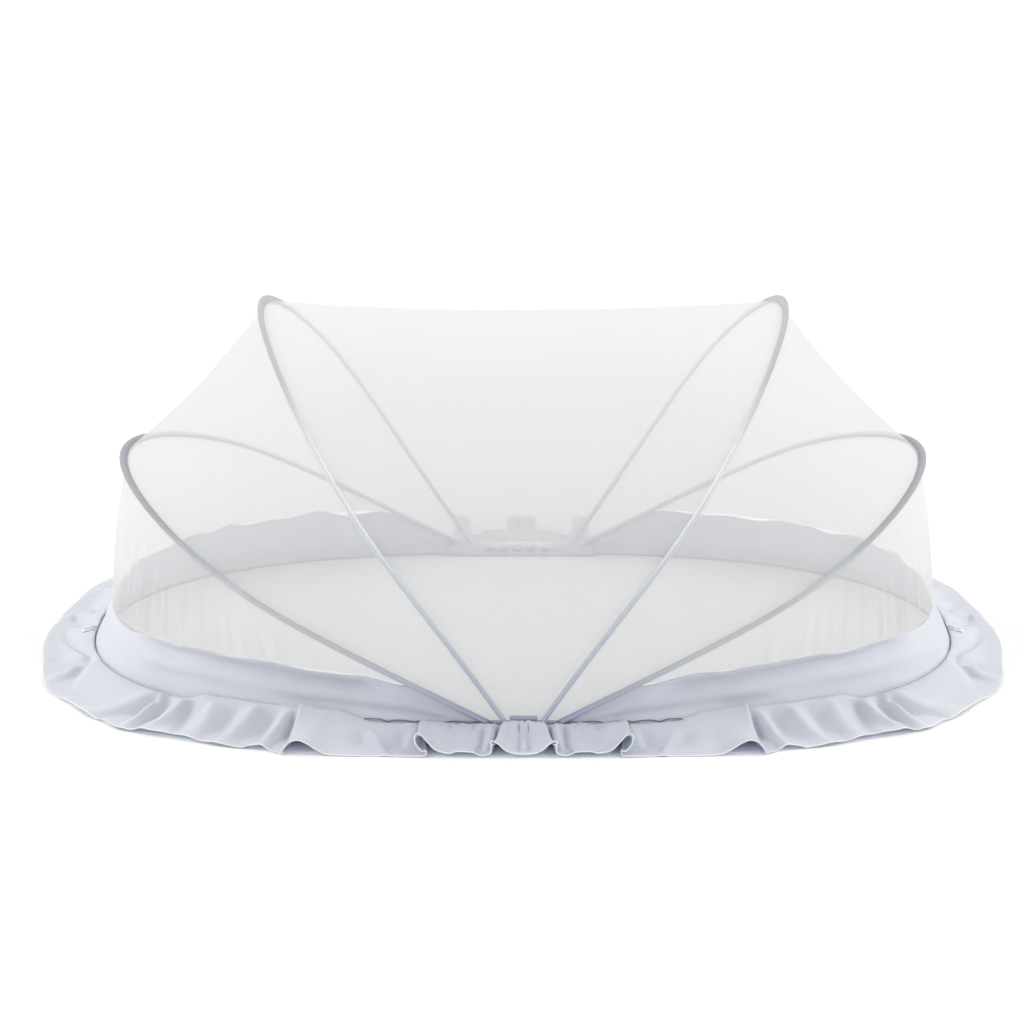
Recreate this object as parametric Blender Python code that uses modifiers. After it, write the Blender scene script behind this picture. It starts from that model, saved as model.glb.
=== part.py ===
"""A foldable baby mosquito net that stands open on its four sprung arches, with a gathered ruffle on the floor.

Run it with blender --background --python part.py, or from the text editor. Metres, +Z up. X runs along the
net, the front is at -Y, and the origin is on the floor under the middle of the net.
"""

import math
from dataclasses import dataclass

import bmesh
import bpy
import numpy as np
from mathutils import Matrix, Vector

# The line along which the band is sewn to the ruffle: a superellipse round the base.
SEAM_HALF_LENGTH = 0.600
SEAM_HALF_DEPTH = 0.321
SEAM_POWER = 2.42
SEAM_Z = 0.018
SEAM_SAMPLES = 4000

# The arches: flat sprung hoops that fan out from a hub at the front and one at the back.
ARCH_HALF_DEPTH = 0.316
ARCH_FOOT_Z = 0.020
SLEEVE_DEPTH = 0.012
SLEEVE_WIDTH = 0.006
SLEEVE_POINTS = 41

# How far a net panel's edge stays from the axis of its sleeve: inwards in the arch's plane, and beside it.
NET_EDGE_IN = 0.0040
NET_EDGE_BESIDE = 0.0038
NET_THICKNESS = 0.001
NET_FOOT_DEG = 1.5
NET_COLUMNS = 26
CENTER_NET_ROWS = 7
SIDE_NET_ROWS = 4
TANGENT_STEP = 0.001
CENTER_SAG = 0.013
SIDE_SAG = 0.008

# The end panels. Their bulge is full from END_BULGE_TALL up, as a share of the low arch's rise.
END_NET_COLUMNS = 32
END_NET_ROWS = 5
END_NET_OVER_BAND = 0.0012
END_NET_CLEARANCE = 0.0136
END_NET_STEP_DEG = 0.1
END_BULGE = 0.005
END_BULGE_TALL = 1 / 3

# The cloth band that stands on the floor as a low wall, with the ruffle sewn to its outer face.
BAND_THICKNESS = 0.0015
BAND_FOOT_DEG = 1.7
BAND_TOP_Z = 0.082
BAND_BACK_EXTRA = 0.004
BAND_END_DROP = 0.008
BAND_LEAN = 0.024
BAND_UNDER_ROD = 0.0062
BAND_TO_ROD = 0.03
BAND_COLUMNS = 44
BAND_ROWS = 3
BAND_BELOW_SEAM = 1 / BAND_ROWS

# The hub pockets, in which the feet of the arches meet.
POCKET_DEPTH = 0.009
POCKET_Y = 0.3145
POCKET_FOOT_Z = 0.0
POCKET_TOP_Z = 0.0165
POCKET_EDGE = 0.001
POCKET_CORNER = 0.003
FRONT_POCKET_HALF = 0.056
FRONT_POCKET_RISE_HALF = 0.0168
FRONT_POCKET_RISE_Z = 0.029
BACK_POCKET_HALF = 0.112

# The ruffle: a gathered strip that runs out from the seam to its hem, a superellipse on the floor.
RUFFLE_THICKNESS = 0.0015
RUFFLE_GAP = 0.0012
HEM_HALF_LENGTH = 0.669
HEM_HALF_DEPTH = 0.374
HEM_POWER = 2.72
RUFFLE_INNER_Z = 0.016
RUFFLE_FLAT_FROM = 0.75
FOLD_ROOT_POWER = 1.3
HEM_HALVINGS = 24
RUFFLE_COLUMNS = 280
RUFFLE_ROWS = 4
RUFFLE_HUB_DENSITY = 2.6
RUFFLE_HUB_REACH = 0.16

# The loops of round tape at the two ends.
LOOP_Y = -0.017
LOOP_LENGTH = 0.020
LOOP_RADIUS = 0.0015
LOOP_HALF_GAP = 0.0024
LOOP_TURN_POINTS = 7
LOOP_CLEARANCE = 0.0010
LOOP_ROOT_GAP = 0.003

WELD = 0.00001

LEFT, RIGHT = -1, 1
SIDES = {"left": LEFT, "right": RIGHT}


@dataclass(frozen=True)
class Arch:
    """One sprung hoop: its rise along its own plane, that plane's lean, its feet, and how it bulges."""

    rise: float
    lean: float
    front_foot: float
    back_foot: float
    bulge: tuple
    crown: tuple


TALL = Arch(
    rise=0.551, lean=0.579, front_foot=0.023, back_foot=0.079, bulge=(1.041, -0.297), crown=(-0.338, 0.419)
)
LOW = Arch(
    rise=0.541, lean=1.079, front_foot=0.044, back_foot=0.100, bulge=(0.433, -0.062), crown=(-0.222, 0.433)
)


@dataclass(frozen=True)
class HubRise:
    """How the band's top rises beside a hub: its height there, where the rise starts in X and how long it is."""

    z: float
    start: float
    length: float


FRONT_RISE = HubRise(z=0.0725, start=0.15, length=0.25)
BACK_RISE = HubRise(z=0.055, start=0.10, length=0.22)


@dataclass(frozen=True)
class Fold:
    """A lifted fold of the ruffle's edge, placed by its distance along the seam from the hub's middle."""

    at: float
    height: float
    flat: float
    rise: float
    fall: float


# Every fold stands on both sides of the middle. rise is its slope on the hub's side, fall on the far side.
FRONT_FOLDS = (
    Fold(at=0.038, height=0.0200, flat=0.002, rise=0.044, fall=0.010),
    Fold(at=0.080, height=0.0045, flat=0.012, rise=0.020, fall=0.020),
    Fold(at=0.131, height=0.0250, flat=0.002, rise=0.032, fall=0.009),
    Fold(at=0.200, height=0.0030, flat=0.004, rise=0.030, fall=0.030),
    Fold(at=0.288, height=0.0205, flat=0.002, rise=0.032, fall=0.020),
    Fold(at=0.345, height=0.0050, flat=0.006, rise=0.022, fall=0.030),
    Fold(at=0.500, height=0.0065, flat=0.030, rise=0.060, fall=0.050),
)
BACK_FOLDS = (
    Fold(at=0.013, height=0.0440, flat=0.012, rise=0.014, fall=0.012),
    Fold(at=0.057, height=0.0220, flat=0.006, rise=0.014, fall=0.012),
    Fold(at=0.091, height=0.0470, flat=0.006, rise=0.012, fall=0.011),
    Fold(at=0.140, height=0.0100, flat=0.004, rise=0.022, fall=0.018),
    Fold(at=0.230, height=0.0080, flat=0.004, rise=0.030, fall=0.024),
    Fold(at=0.330, height=0.0120, flat=0.003, rise=0.034, fall=0.020),
    Fold(at=0.480, height=0.0070, flat=0.020, rise=0.060, fall=0.050),
)

# Along the end's curve the hem waves a little, and dips to the floor between the waves.
END_WAVE_HEIGHT = 0.0030
END_WAVE_LENGTH = 0.17
END_WAVE_FROM = 0.60


def smoothstep(x):
    x = min(max(x, 0.0), 1.0)
    return x * x * (3 - 2 * x)


def arch_point(arch, side, t):
    """The arch's axis, with t from 0 at the front foot to pi at the back foot."""
    sine, cosine = math.sin(t), math.cos(t)
    along = -cosine * (1 + arch.bulge[0] * sine**2 + arch.bulge[1] * sine**4)
    up = sine * (1 + arch.crown[0] * cosine**2 + arch.crown[1] * cosine**4)
    foot = (arch.front_foot + arch.back_foot) / 2 + (arch.back_foot - arch.front_foot) / 2 * along
    out = foot + arch.rise * up * math.sin(arch.lean)
    return Vector((side * out, ARCH_HALF_DEPTH * along, ARCH_FOOT_Z + arch.rise * up * math.cos(arch.lean)))


def arch_plane(arch, side):
    """The arch's plane as a matrix: x runs from the front foot to the back one, and z is the plane's normal."""
    run = (arch_point(arch, side, math.pi) - arch_point(arch, side, 0)).normalized()
    rise = Vector((side * math.sin(arch.lean), 0, math.cos(arch.lean)))
    normal = run.cross(rise).normalized()
    frame = Matrix((run, normal.cross(run), normal)).transposed().to_4x4()
    frame.translation = (arch_point(arch, side, 0) + arch_point(arch, side, math.pi)) / 2
    return frame


def net_edge(arch, side, t, outboard):
    """Where a net panel meets the sleeve of an arch, and the way that points into the hoop there."""
    tangent = (arch_point(arch, side, t + TANGENT_STEP) - arch_point(arch, side, t - TANGENT_STEP)).normalized()
    normal = arch_plane(arch, side).col[2].to_3d()
    inward = tangent.cross(normal).normalized()
    centre = arch_plane(arch, side).translation + Vector((0, 0, arch.rise * math.cos(arch.lean) / 2))
    if inward.dot(centre - arch_point(arch, side, t)) < 0:
        inward = -inward
    beside = normal if normal.x * side > 0 else -normal
    way = 1 if outboard else -1
    return arch_point(arch, side, t) + inward * NET_EDGE_IN + beside * way * NET_EDGE_BESIDE, inward


def radial_reach(x, y, half_length=SEAM_HALF_LENGTH, half_depth=SEAM_HALF_DEPTH, power=SEAM_POWER):
    """How far a superellipse lies from the middle, as a share of the distance to (x, y)."""
    return (abs(x / half_length) ** power + abs(y / half_depth) ** power) ** (-1 / power)


def seam_outward(x, y):
    """The seam's outward direction at a point of it."""
    power = SEAM_POWER - 1
    gradient = Vector(
        (
            math.copysign(abs(x / SEAM_HALF_LENGTH) ** power / SEAM_HALF_LENGTH, x),
            math.copysign(abs(y / SEAM_HALF_DEPTH) ** power / SEAM_HALF_DEPTH, y),
            0,
        )
    )
    return gradient.normalized()


class SeamLine:
    """The seam by its length, measured from the front's middle and running towards +X."""

    def __init__(self):
        angle = np.linspace(-math.pi / 2, 3 * math.pi / 2, SEAM_SAMPLES + 1)
        cosine, sine = np.cos(angle), np.sin(angle)
        power = 2 / SEAM_POWER
        self.x = SEAM_HALF_LENGTH * np.sign(cosine) * np.abs(cosine) ** power
        self.y = SEAM_HALF_DEPTH * np.sign(sine) * np.abs(sine) ** power
        steps = np.hypot(np.diff(self.x), np.diff(self.y))
        self.s = np.concatenate(([0.0], np.cumsum(steps)))
        self.length = float(self.s[-1])

    def at(self, s):
        s = s % self.length
        return Vector((float(np.interp(s, self.s, self.x)), float(np.interp(s, self.s, self.y)), 0))

    def hub_distance(self, s):
        """How far s is from the nearer hub's middle, and whether that hub is the front one."""
        s = s % self.length
        front = min(s, self.length - s)
        back = abs(s - self.length / 2)
        return (front, True) if front < back else (back, False)


SEAM = SeamLine()


def material(name, colour, roughness):
    made = bpy.data.materials.new(name)
    made.use_nodes = True
    shader = made.node_tree.nodes["Principled BSDF"]
    shader.inputs["Base Color"].default_value = (*colour, 1)
    shader.inputs["Roughness"].default_value = roughness
    shader.inputs["Metallic"].default_value = 0
    made.diffuse_color = (*colour, 1)
    return made


def add(collection, name, data, finish):
    data.materials.append(finish)
    made = bpy.data.objects.new(name, data)
    collection.objects.link(made)
    return made


def sheet(collection, name, finish, columns, rows, place, thickness, offset=0, closed=False):
    """A sheet of cloth: a grid whose vertices place(u, v) puts where they hang, then given its thickness."""
    shape = bmesh.new()
    bmesh.ops.create_grid(shape, x_segments=columns, y_segments=rows, size=1)
    for vertex in shape.verts:
        vertex.co = place((vertex.co.x + 1) / 2, (vertex.co.y + 1) / 2)
    if closed:
        bmesh.ops.remove_doubles(shape, verts=shape.verts, dist=WELD)
    mesh = bpy.data.meshes.new(name)
    shape.to_mesh(mesh)
    shape.free()
    mesh.shade_smooth()
    made = add(collection, name, mesh, finish)
    solid = made.modifiers.new("Thickness", "SOLIDIFY")
    solid.thickness = thickness
    solid.offset = offset
    return made


def tube(collection, name, finish, points, radius):
    curve = bpy.data.curves.new(name, "CURVE")
    curve.dimensions = "3D"
    curve.bevel_depth = radius
    curve.bevel_resolution = 2
    curve.use_fill_caps = True
    spline = curve.splines.new("POLY")
    spline.points.add(len(points) - 1)
    for target, point in zip(spline.points, points):
        target.co = (*point, 1)
    return add(collection, name, curve, finish)


def sleeve(collection, name, finish, arch, side):
    """The binding sleeve over one arch, deeper in the arch's plane than it is wide."""
    plane = arch_plane(arch, side)
    steps = [math.pi * i / (SLEEVE_POINTS - 1) for i in range(SLEEVE_POINTS)]
    points = [plane.inverted() @ arch_point(arch, side, t) for t in steps]
    made = tube(collection, name, finish, points, SLEEVE_DEPTH / 2)
    made.matrix_world = plane @ Matrix.Diagonal((1, 1, SLEEVE_WIDTH / SLEEVE_DEPTH, 1))
    return made


def span(foot_deg, share):
    """The angle along an arch for a share of the way from foot_deg at the front to the same at the back."""
    foot = math.radians(foot_deg)
    return foot + (math.pi - 2 * foot) * share


def net_center(collection, finish):
    def place(u, v):
        t = span(NET_FOOT_DEG, u)
        left, left_in = net_edge(TALL, LEFT, t, outboard=False)
        right, right_in = net_edge(TALL, RIGHT, t, outboard=False)
        sag = CENTER_SAG * 4 * v * (1 - v) * math.sin(t)
        return left.lerp(right, v) + (left_in + right_in).normalized() * sag

    return sheet(collection, "net_center", finish, NET_COLUMNS, CENTER_NET_ROWS, place, NET_THICKNESS)


def net_side(collection, name, finish, side):
    def place(u, v):
        t = span(NET_FOOT_DEG, u)
        inner, inner_in = net_edge(TALL, side, t, outboard=True)
        outer, outer_in = net_edge(LOW, side, t, outboard=False)
        sag = SIDE_SAG * 4 * v * (1 - v) * math.sin(t)
        return inner.lerp(outer, v) + (inner_in + outer_in).normalized() * sag

    return sheet(collection, name, finish, NET_COLUMNS, SIDE_NET_ROWS, place, NET_THICKNESS)


def band_line(side, t):
    """The seam point below an arch point, the outward way there, and the band's top."""
    rod = arch_point(LOW, side, t)
    reach = radial_reach(rod.x, rod.y)
    foot = Vector((rod.x * reach, rod.y * reach, SEAM_Z))
    outward = seam_outward(foot.x, foot.y)
    hub = FRONT_RISE if foot.y < 0 else BACK_RISE
    grown = smoothstep((abs(foot.x) - hub.start) / hub.length)
    full = hub.z + (BAND_TOP_Z - hub.z) * grown - BAND_END_DROP * outward.x**2
    full += BAND_BACK_EXTRA * max(0, outward.y)
    top_z = min(full, rod.z - BAND_UNDER_ROD)
    lean = BAND_LEAN * (top_z - SEAM_Z) / (BAND_TOP_Z - SEAM_Z)
    under_rod = smoothstep((full - rod.z + BAND_TO_ROD) / BAND_TO_ROD)
    top = foot - outward * lean
    top = top.lerp(Vector((rod.x, rod.y, 0)), under_rod)
    top.z = top_z
    return foot, outward, top


def band(collection, name, finish, side):
    def place(u, v):
        foot, outward, top = band_line(side, span(BAND_FOOT_DEG, u))
        inset = outward * BAND_THICKNESS / 2
        if v < BAND_BELOW_SEAM:
            return Vector((foot.x, foot.y, SEAM_Z * v / BAND_BELOW_SEAM)) - inset
        return foot.lerp(top, (v - BAND_BELOW_SEAM) / (1 - BAND_BELOW_SEAM)) - inset

    return sheet(collection, name, finish, BAND_COLUMNS, BAND_ROWS, place, BAND_THICKNESS)


def end_net_limit(from_back):
    """The angle at which the low arch first stands clear above the band, from one of its feet."""
    foot = math.radians(BAND_FOOT_DEG)
    t, step = foot, math.radians(END_NET_STEP_DEG)
    if from_back:
        t, step = math.pi - foot, -step
    while band_line(RIGHT, t)[2].z > arch_point(LOW, RIGHT, t).z - END_NET_CLEARANCE:
        t += step
    return t


def net_end(collection, name, finish, side):
    front, back = end_net_limit(False), end_net_limit(True)

    def place(u, v):
        t = front + (back - front) * u
        _, outward, top = band_line(side, t)
        edge, _ = net_edge(LOW, side, t, outboard=True)
        foot = top - outward * BAND_THICKNESS / 2 + Vector((0, 0, END_NET_OVER_BAND))
        tall = (edge - foot).length / LOW.rise
        bulge = END_BULGE * 4 * v * (1 - v) * min(1, tall / END_BULGE_TALL)
        return foot.lerp(edge, v) + outward * bulge

    return sheet(collection, name, finish, END_NET_COLUMNS, END_NET_ROWS, place, NET_THICKNESS)


def pocket(collection, name, finish, y, outline):
    """A stitched pocket at a hub: a flat outline in x and z, with a little depth and a soft edge."""
    curve = bpy.data.curves.new(name, "CURVE")
    curve.dimensions = "2D"
    curve.fill_mode = "BOTH"
    curve.extrude = POCKET_DEPTH / 2 - POCKET_EDGE
    curve.bevel_depth = POCKET_EDGE
    curve.bevel_resolution = 1
    spline = curve.splines.new("POLY")
    spline.use_cyclic_u = True
    spline.points.add(len(outline) - 1)
    for target, (x, z) in zip(spline.points, outline):
        target.co = (x, z, 0, 1)
    made = add(collection, name, curve, finish)
    made.location = (0, y, 0)
    made.rotation_euler = (math.pi / 2, 0, 0)
    return made


def pocket_outline(half, rise_half=0.0, rise_z=0.0):
    """A long low outline with cut corners, and the raised web between the tall arches if it has one."""
    low, high = POCKET_FOOT_Z + POCKET_EDGE, POCKET_TOP_Z - POCKET_EDGE
    end = half - POCKET_EDGE
    inner = end - POCKET_CORNER
    right = [(inner, low), (end, low + POCKET_CORNER), (end, high - POCKET_CORNER), (inner, high)]
    if rise_half:
        web = rise_half - POCKET_EDGE
        right += [(web, high), (web, rise_z - POCKET_EDGE)]
    return right + [(-x, z) for x, z in reversed(right)]


def fold_height(fold, distance):
    """The height of one fold at a distance along the seam from its hub."""
    off = distance - fold.at
    slope = fold.fall if off > 0 else fold.rise
    over = (abs(off) - fold.flat) / slope
    return fold.height * (1 - smoothstep(over))


def hem_height(s):
    """The height of the ruffle's outer edge above the floor."""
    distance, front = SEAM.hub_distance(s)
    folds = FRONT_FOLDS if front else BACK_FOLDS
    height = max(fold_height(fold, distance) for fold in folds)
    wave = math.sin(2 * math.pi * (distance - END_WAVE_FROM) / END_WAVE_LENGTH)
    grown = smoothstep((distance - END_WAVE_FROM) / END_WAVE_LENGTH)
    return height + max(0, END_WAVE_HEIGHT * wave * grown)


def ruffle_width(foot, outward):
    """How far it is from the ruffle's inner edge straight out to the hem's line on the floor."""
    low, high = 0.0, 2 * (HEM_HALF_LENGTH - SEAM_HALF_LENGTH)
    for _ in range(HEM_HALVINGS):
        middle = (low + high) / 2
        point = foot + outward * (RUFFLE_GAP + middle)
        inside = radial_reach(point.x, point.y, HEM_HALF_LENGTH, HEM_HALF_DEPTH, HEM_POWER) > 1
        low, high = (middle, high) if inside else (low, middle)
    return low


def ruffle_base(v):
    """The height of a flat stretch of the ruffle's underside: from the seam down to the floor."""
    return RUFFLE_INNER_Z * (1 - smoothstep(v / RUFFLE_FLAT_FROM))


def ruffle_point(s, v):
    """The ruffle's underside, with v from 0 at the seam to 1 at the hem."""
    foot = SEAM.at(s)
    outward = seam_outward(foot.x, foot.y)
    hem = hem_height(s)
    run = math.sqrt(ruffle_width(foot, outward) ** 2 - hem**2 / 2)
    point = foot + outward * (RUFFLE_GAP + run * v)
    point.z = ruffle_base(v) + hem * v**FOLD_ROOT_POWER
    return point


def ruffle_stations():
    """Places along the seam for the ruffle's columns, closer together near the two hubs."""
    s = np.linspace(0, SEAM.length, SEAM_SAMPLES)
    distance = np.array([SEAM.hub_distance(value)[0] for value in s])
    density = 1 + RUFFLE_HUB_DENSITY * np.exp(-((distance / RUFFLE_HUB_REACH) ** 4))
    count = np.concatenate(([0.0], np.cumsum((density[1:] + density[:-1]) / 2)))
    return np.interp(np.linspace(0, count[-1], RUFFLE_COLUMNS + 1), count, s)


def ruffle(collection, finish):
    stations = ruffle_stations()

    def place(u, v):
        return ruffle_point(float(stations[round(u * RUFFLE_COLUMNS)]), v)

    return sheet(
        collection, "ruffle", finish, RUFFLE_COLUMNS, RUFFLE_ROWS, place, RUFFLE_THICKNESS, offset=-1, closed=True
    )


def loop(collection, name, finish, side):
    """A small loop of round tape that is sewn in at the seam and lies over the ruffle."""
    inner = SEAM_HALF_LENGTH + LOOP_ROOT_GAP
    points = [(inner, LOOP_HALF_GAP)]
    for i in range(LOOP_TURN_POINTS):
        angle = math.pi / 2 - math.pi * i / (LOOP_TURN_POINTS - 1)
        points.append(
            (inner + LOOP_LENGTH - LOOP_HALF_GAP + LOOP_HALF_GAP * math.cos(angle), LOOP_HALF_GAP * math.sin(angle))
        )
    points.append((inner, -LOOP_HALF_GAP))
    path = []
    for x, y in points:
        share = (x - SEAM_HALF_LENGTH - RUFFLE_GAP) / (HEM_HALF_LENGTH - SEAM_HALF_LENGTH - RUFFLE_GAP)
        path.append((side * x, LOOP_Y + y, ruffle_base(share) + RUFFLE_THICKNESS + LOOP_RADIUS + LOOP_CLEARANCE))
    return tube(collection, name, finish, path, LOOP_RADIUS)


def main():
    for thing in list(bpy.data.objects):
        bpy.data.objects.remove(thing)
    parts = bpy.data.collections.new("Baby mosquito net")
    bpy.context.scene.collection.children.link(parts)

    net_cloth = material("Sheer net", (0.86, 0.87, 0.88), 0.80)
    binding = material("Binding tape", (0.50, 0.53, 0.57), 0.75)
    band_cloth = material("Band cloth", (0.62, 0.65, 0.74), 0.85)
    ruffle_cloth = material("Ruffle cloth", (0.58, 0.63, 0.71), 0.85)

    net_center(parts, net_cloth)
    for word, side in SIDES.items():
        net_side(parts, f"net_side_{word}", net_cloth, side)
        net_end(parts, f"net_end_{word}", net_cloth, side)
        sleeve(parts, f"sleeve_tall_{word}", binding, TALL, side)
        sleeve(parts, f"sleeve_low_{word}", binding, LOW, side)
        band(parts, f"band_{word}", band_cloth, side)
        loop(parts, f"loop_{word}", binding, side)
    front = pocket_outline(FRONT_POCKET_HALF, FRONT_POCKET_RISE_HALF, FRONT_POCKET_RISE_Z)
    pocket(parts, "hub_pocket_front", band_cloth, -POCKET_Y, front)
    pocket(parts, "hub_pocket_back", band_cloth, POCKET_Y, pocket_outline(BACK_POCKET_HALF))
    ruffle(parts, ruffle_cloth)


main()
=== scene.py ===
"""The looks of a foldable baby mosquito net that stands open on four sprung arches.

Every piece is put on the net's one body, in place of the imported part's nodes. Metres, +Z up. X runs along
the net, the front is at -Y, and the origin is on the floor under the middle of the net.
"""

import logging
import math
from collections.abc import Callable, Sequence
from dataclasses import dataclass, field
from enum import Enum
from functools import partial

import bmesh
import bpy
import numpy as np
from mathutils import Matrix, Vector, noise


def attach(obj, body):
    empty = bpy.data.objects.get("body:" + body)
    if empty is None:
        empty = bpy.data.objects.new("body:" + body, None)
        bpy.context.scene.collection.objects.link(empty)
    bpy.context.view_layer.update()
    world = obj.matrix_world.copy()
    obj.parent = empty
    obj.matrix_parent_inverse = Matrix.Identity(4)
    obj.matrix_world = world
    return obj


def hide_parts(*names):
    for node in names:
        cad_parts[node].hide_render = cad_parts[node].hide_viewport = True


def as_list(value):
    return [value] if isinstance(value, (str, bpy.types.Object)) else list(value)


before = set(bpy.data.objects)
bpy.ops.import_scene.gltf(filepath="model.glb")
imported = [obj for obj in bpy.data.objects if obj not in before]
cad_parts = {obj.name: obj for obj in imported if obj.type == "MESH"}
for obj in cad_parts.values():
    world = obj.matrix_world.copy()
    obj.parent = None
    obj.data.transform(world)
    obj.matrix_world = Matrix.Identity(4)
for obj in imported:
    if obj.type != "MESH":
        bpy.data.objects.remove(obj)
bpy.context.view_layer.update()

log = logging.getLogger("mosquito_net")

Place = Callable[[float, float], Vector]
Colour = tuple[float, float, float]

CLOTH_UV = "Cloth"
WELD = 0.00001
MM_PER_METRE = 1000


class Side(Enum):
    """The two halves of the net, by the sign of X."""

    LEFT = -1
    RIGHT = 1

    @property
    def word(self) -> str:
        """The side's name as pieces use it."""
        return self.name.lower()


class Slot(Enum):
    """The record's material slots."""

    NET = "net"
    BINDING = "binding"
    BAND = "band"
    RUFFLE = "ruffle"


class Held(Enum):
    """How a sheet of cloth is held."""

    STRETCHED = "stretched"
    HUNG = "hung"
    GATHERED = "gathered"
    LAID = "laid"


def smoothstep(x: float) -> float:
    """Eases from 0 to 1 as x does."""
    x = min(max(x, 0.0), 1.0)
    return x * x * (3 - 2 * x)


def ripple(x: float, y: float, seed: float) -> float:
    """Smooth noise from about -1 to 1, the same in every run."""
    return noise.noise(Vector((x, y, seed)))


class Signal:
    """A number's socket in a material. Python's operators on it add Math nodes."""

    def __init__(self, recipe: "Recipe", socket: bpy.types.NodeSocket) -> None:
        """Wraps a socket of a recipe's tree."""
        self.recipe = recipe
        self.socket = socket

    def math(self, operation: str, *others: "Signal | float") -> "Signal":
        """Adds a Math node.

        Args:
            operation: The node's operation.
            others: Its further inputs.

        Returns:
            The node's result.
        """
        inputs = dict(enumerate((self, *others)))
        node = self.recipe.node("ShaderNodeMath", {"operation": operation}, inputs)
        return Signal(self.recipe, node.outputs[0])

    def __add__(self, other: "Signal | float") -> "Signal":
        """Adds."""
        return self.math("ADD", other)

    def __radd__(self, other: float) -> "Signal":
        """Adds, reflected."""
        return self.math("ADD", other)

    def __sub__(self, other: "Signal | float") -> "Signal":
        """Subtracts."""
        return self.math("SUBTRACT", other)

    def __rsub__(self, other: float) -> "Signal":
        """Subtracts, reflected."""
        return (self * -1).math("ADD", other)

    def __mul__(self, other: "Signal | float") -> "Signal":
        """Multiplies."""
        return self.math("MULTIPLY", other)

    def __rmul__(self, other: float) -> "Signal":
        """Multiplies, reflected."""
        return self.math("MULTIPLY", other)

    def cosine(self) -> "Signal":
        """The cosine."""
        return self.math("COSINE")

    def between(self, low: float, high: float) -> "Signal":
        """Eases from 0 at low to 1 at high.

        Args:
            low: Where it is 0.
            high: Where it is 1.

        Returns:
            The eased number.
        """
        settings = {"interpolation_type": "SMOOTHSTEP"}
        inputs = {"Value": self, "From Min": low, "From Max": high}
        node = self.recipe.node("ShaderNodeMapRange", settings, inputs)
        return Signal(self.recipe, node.outputs["Result"])


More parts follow.
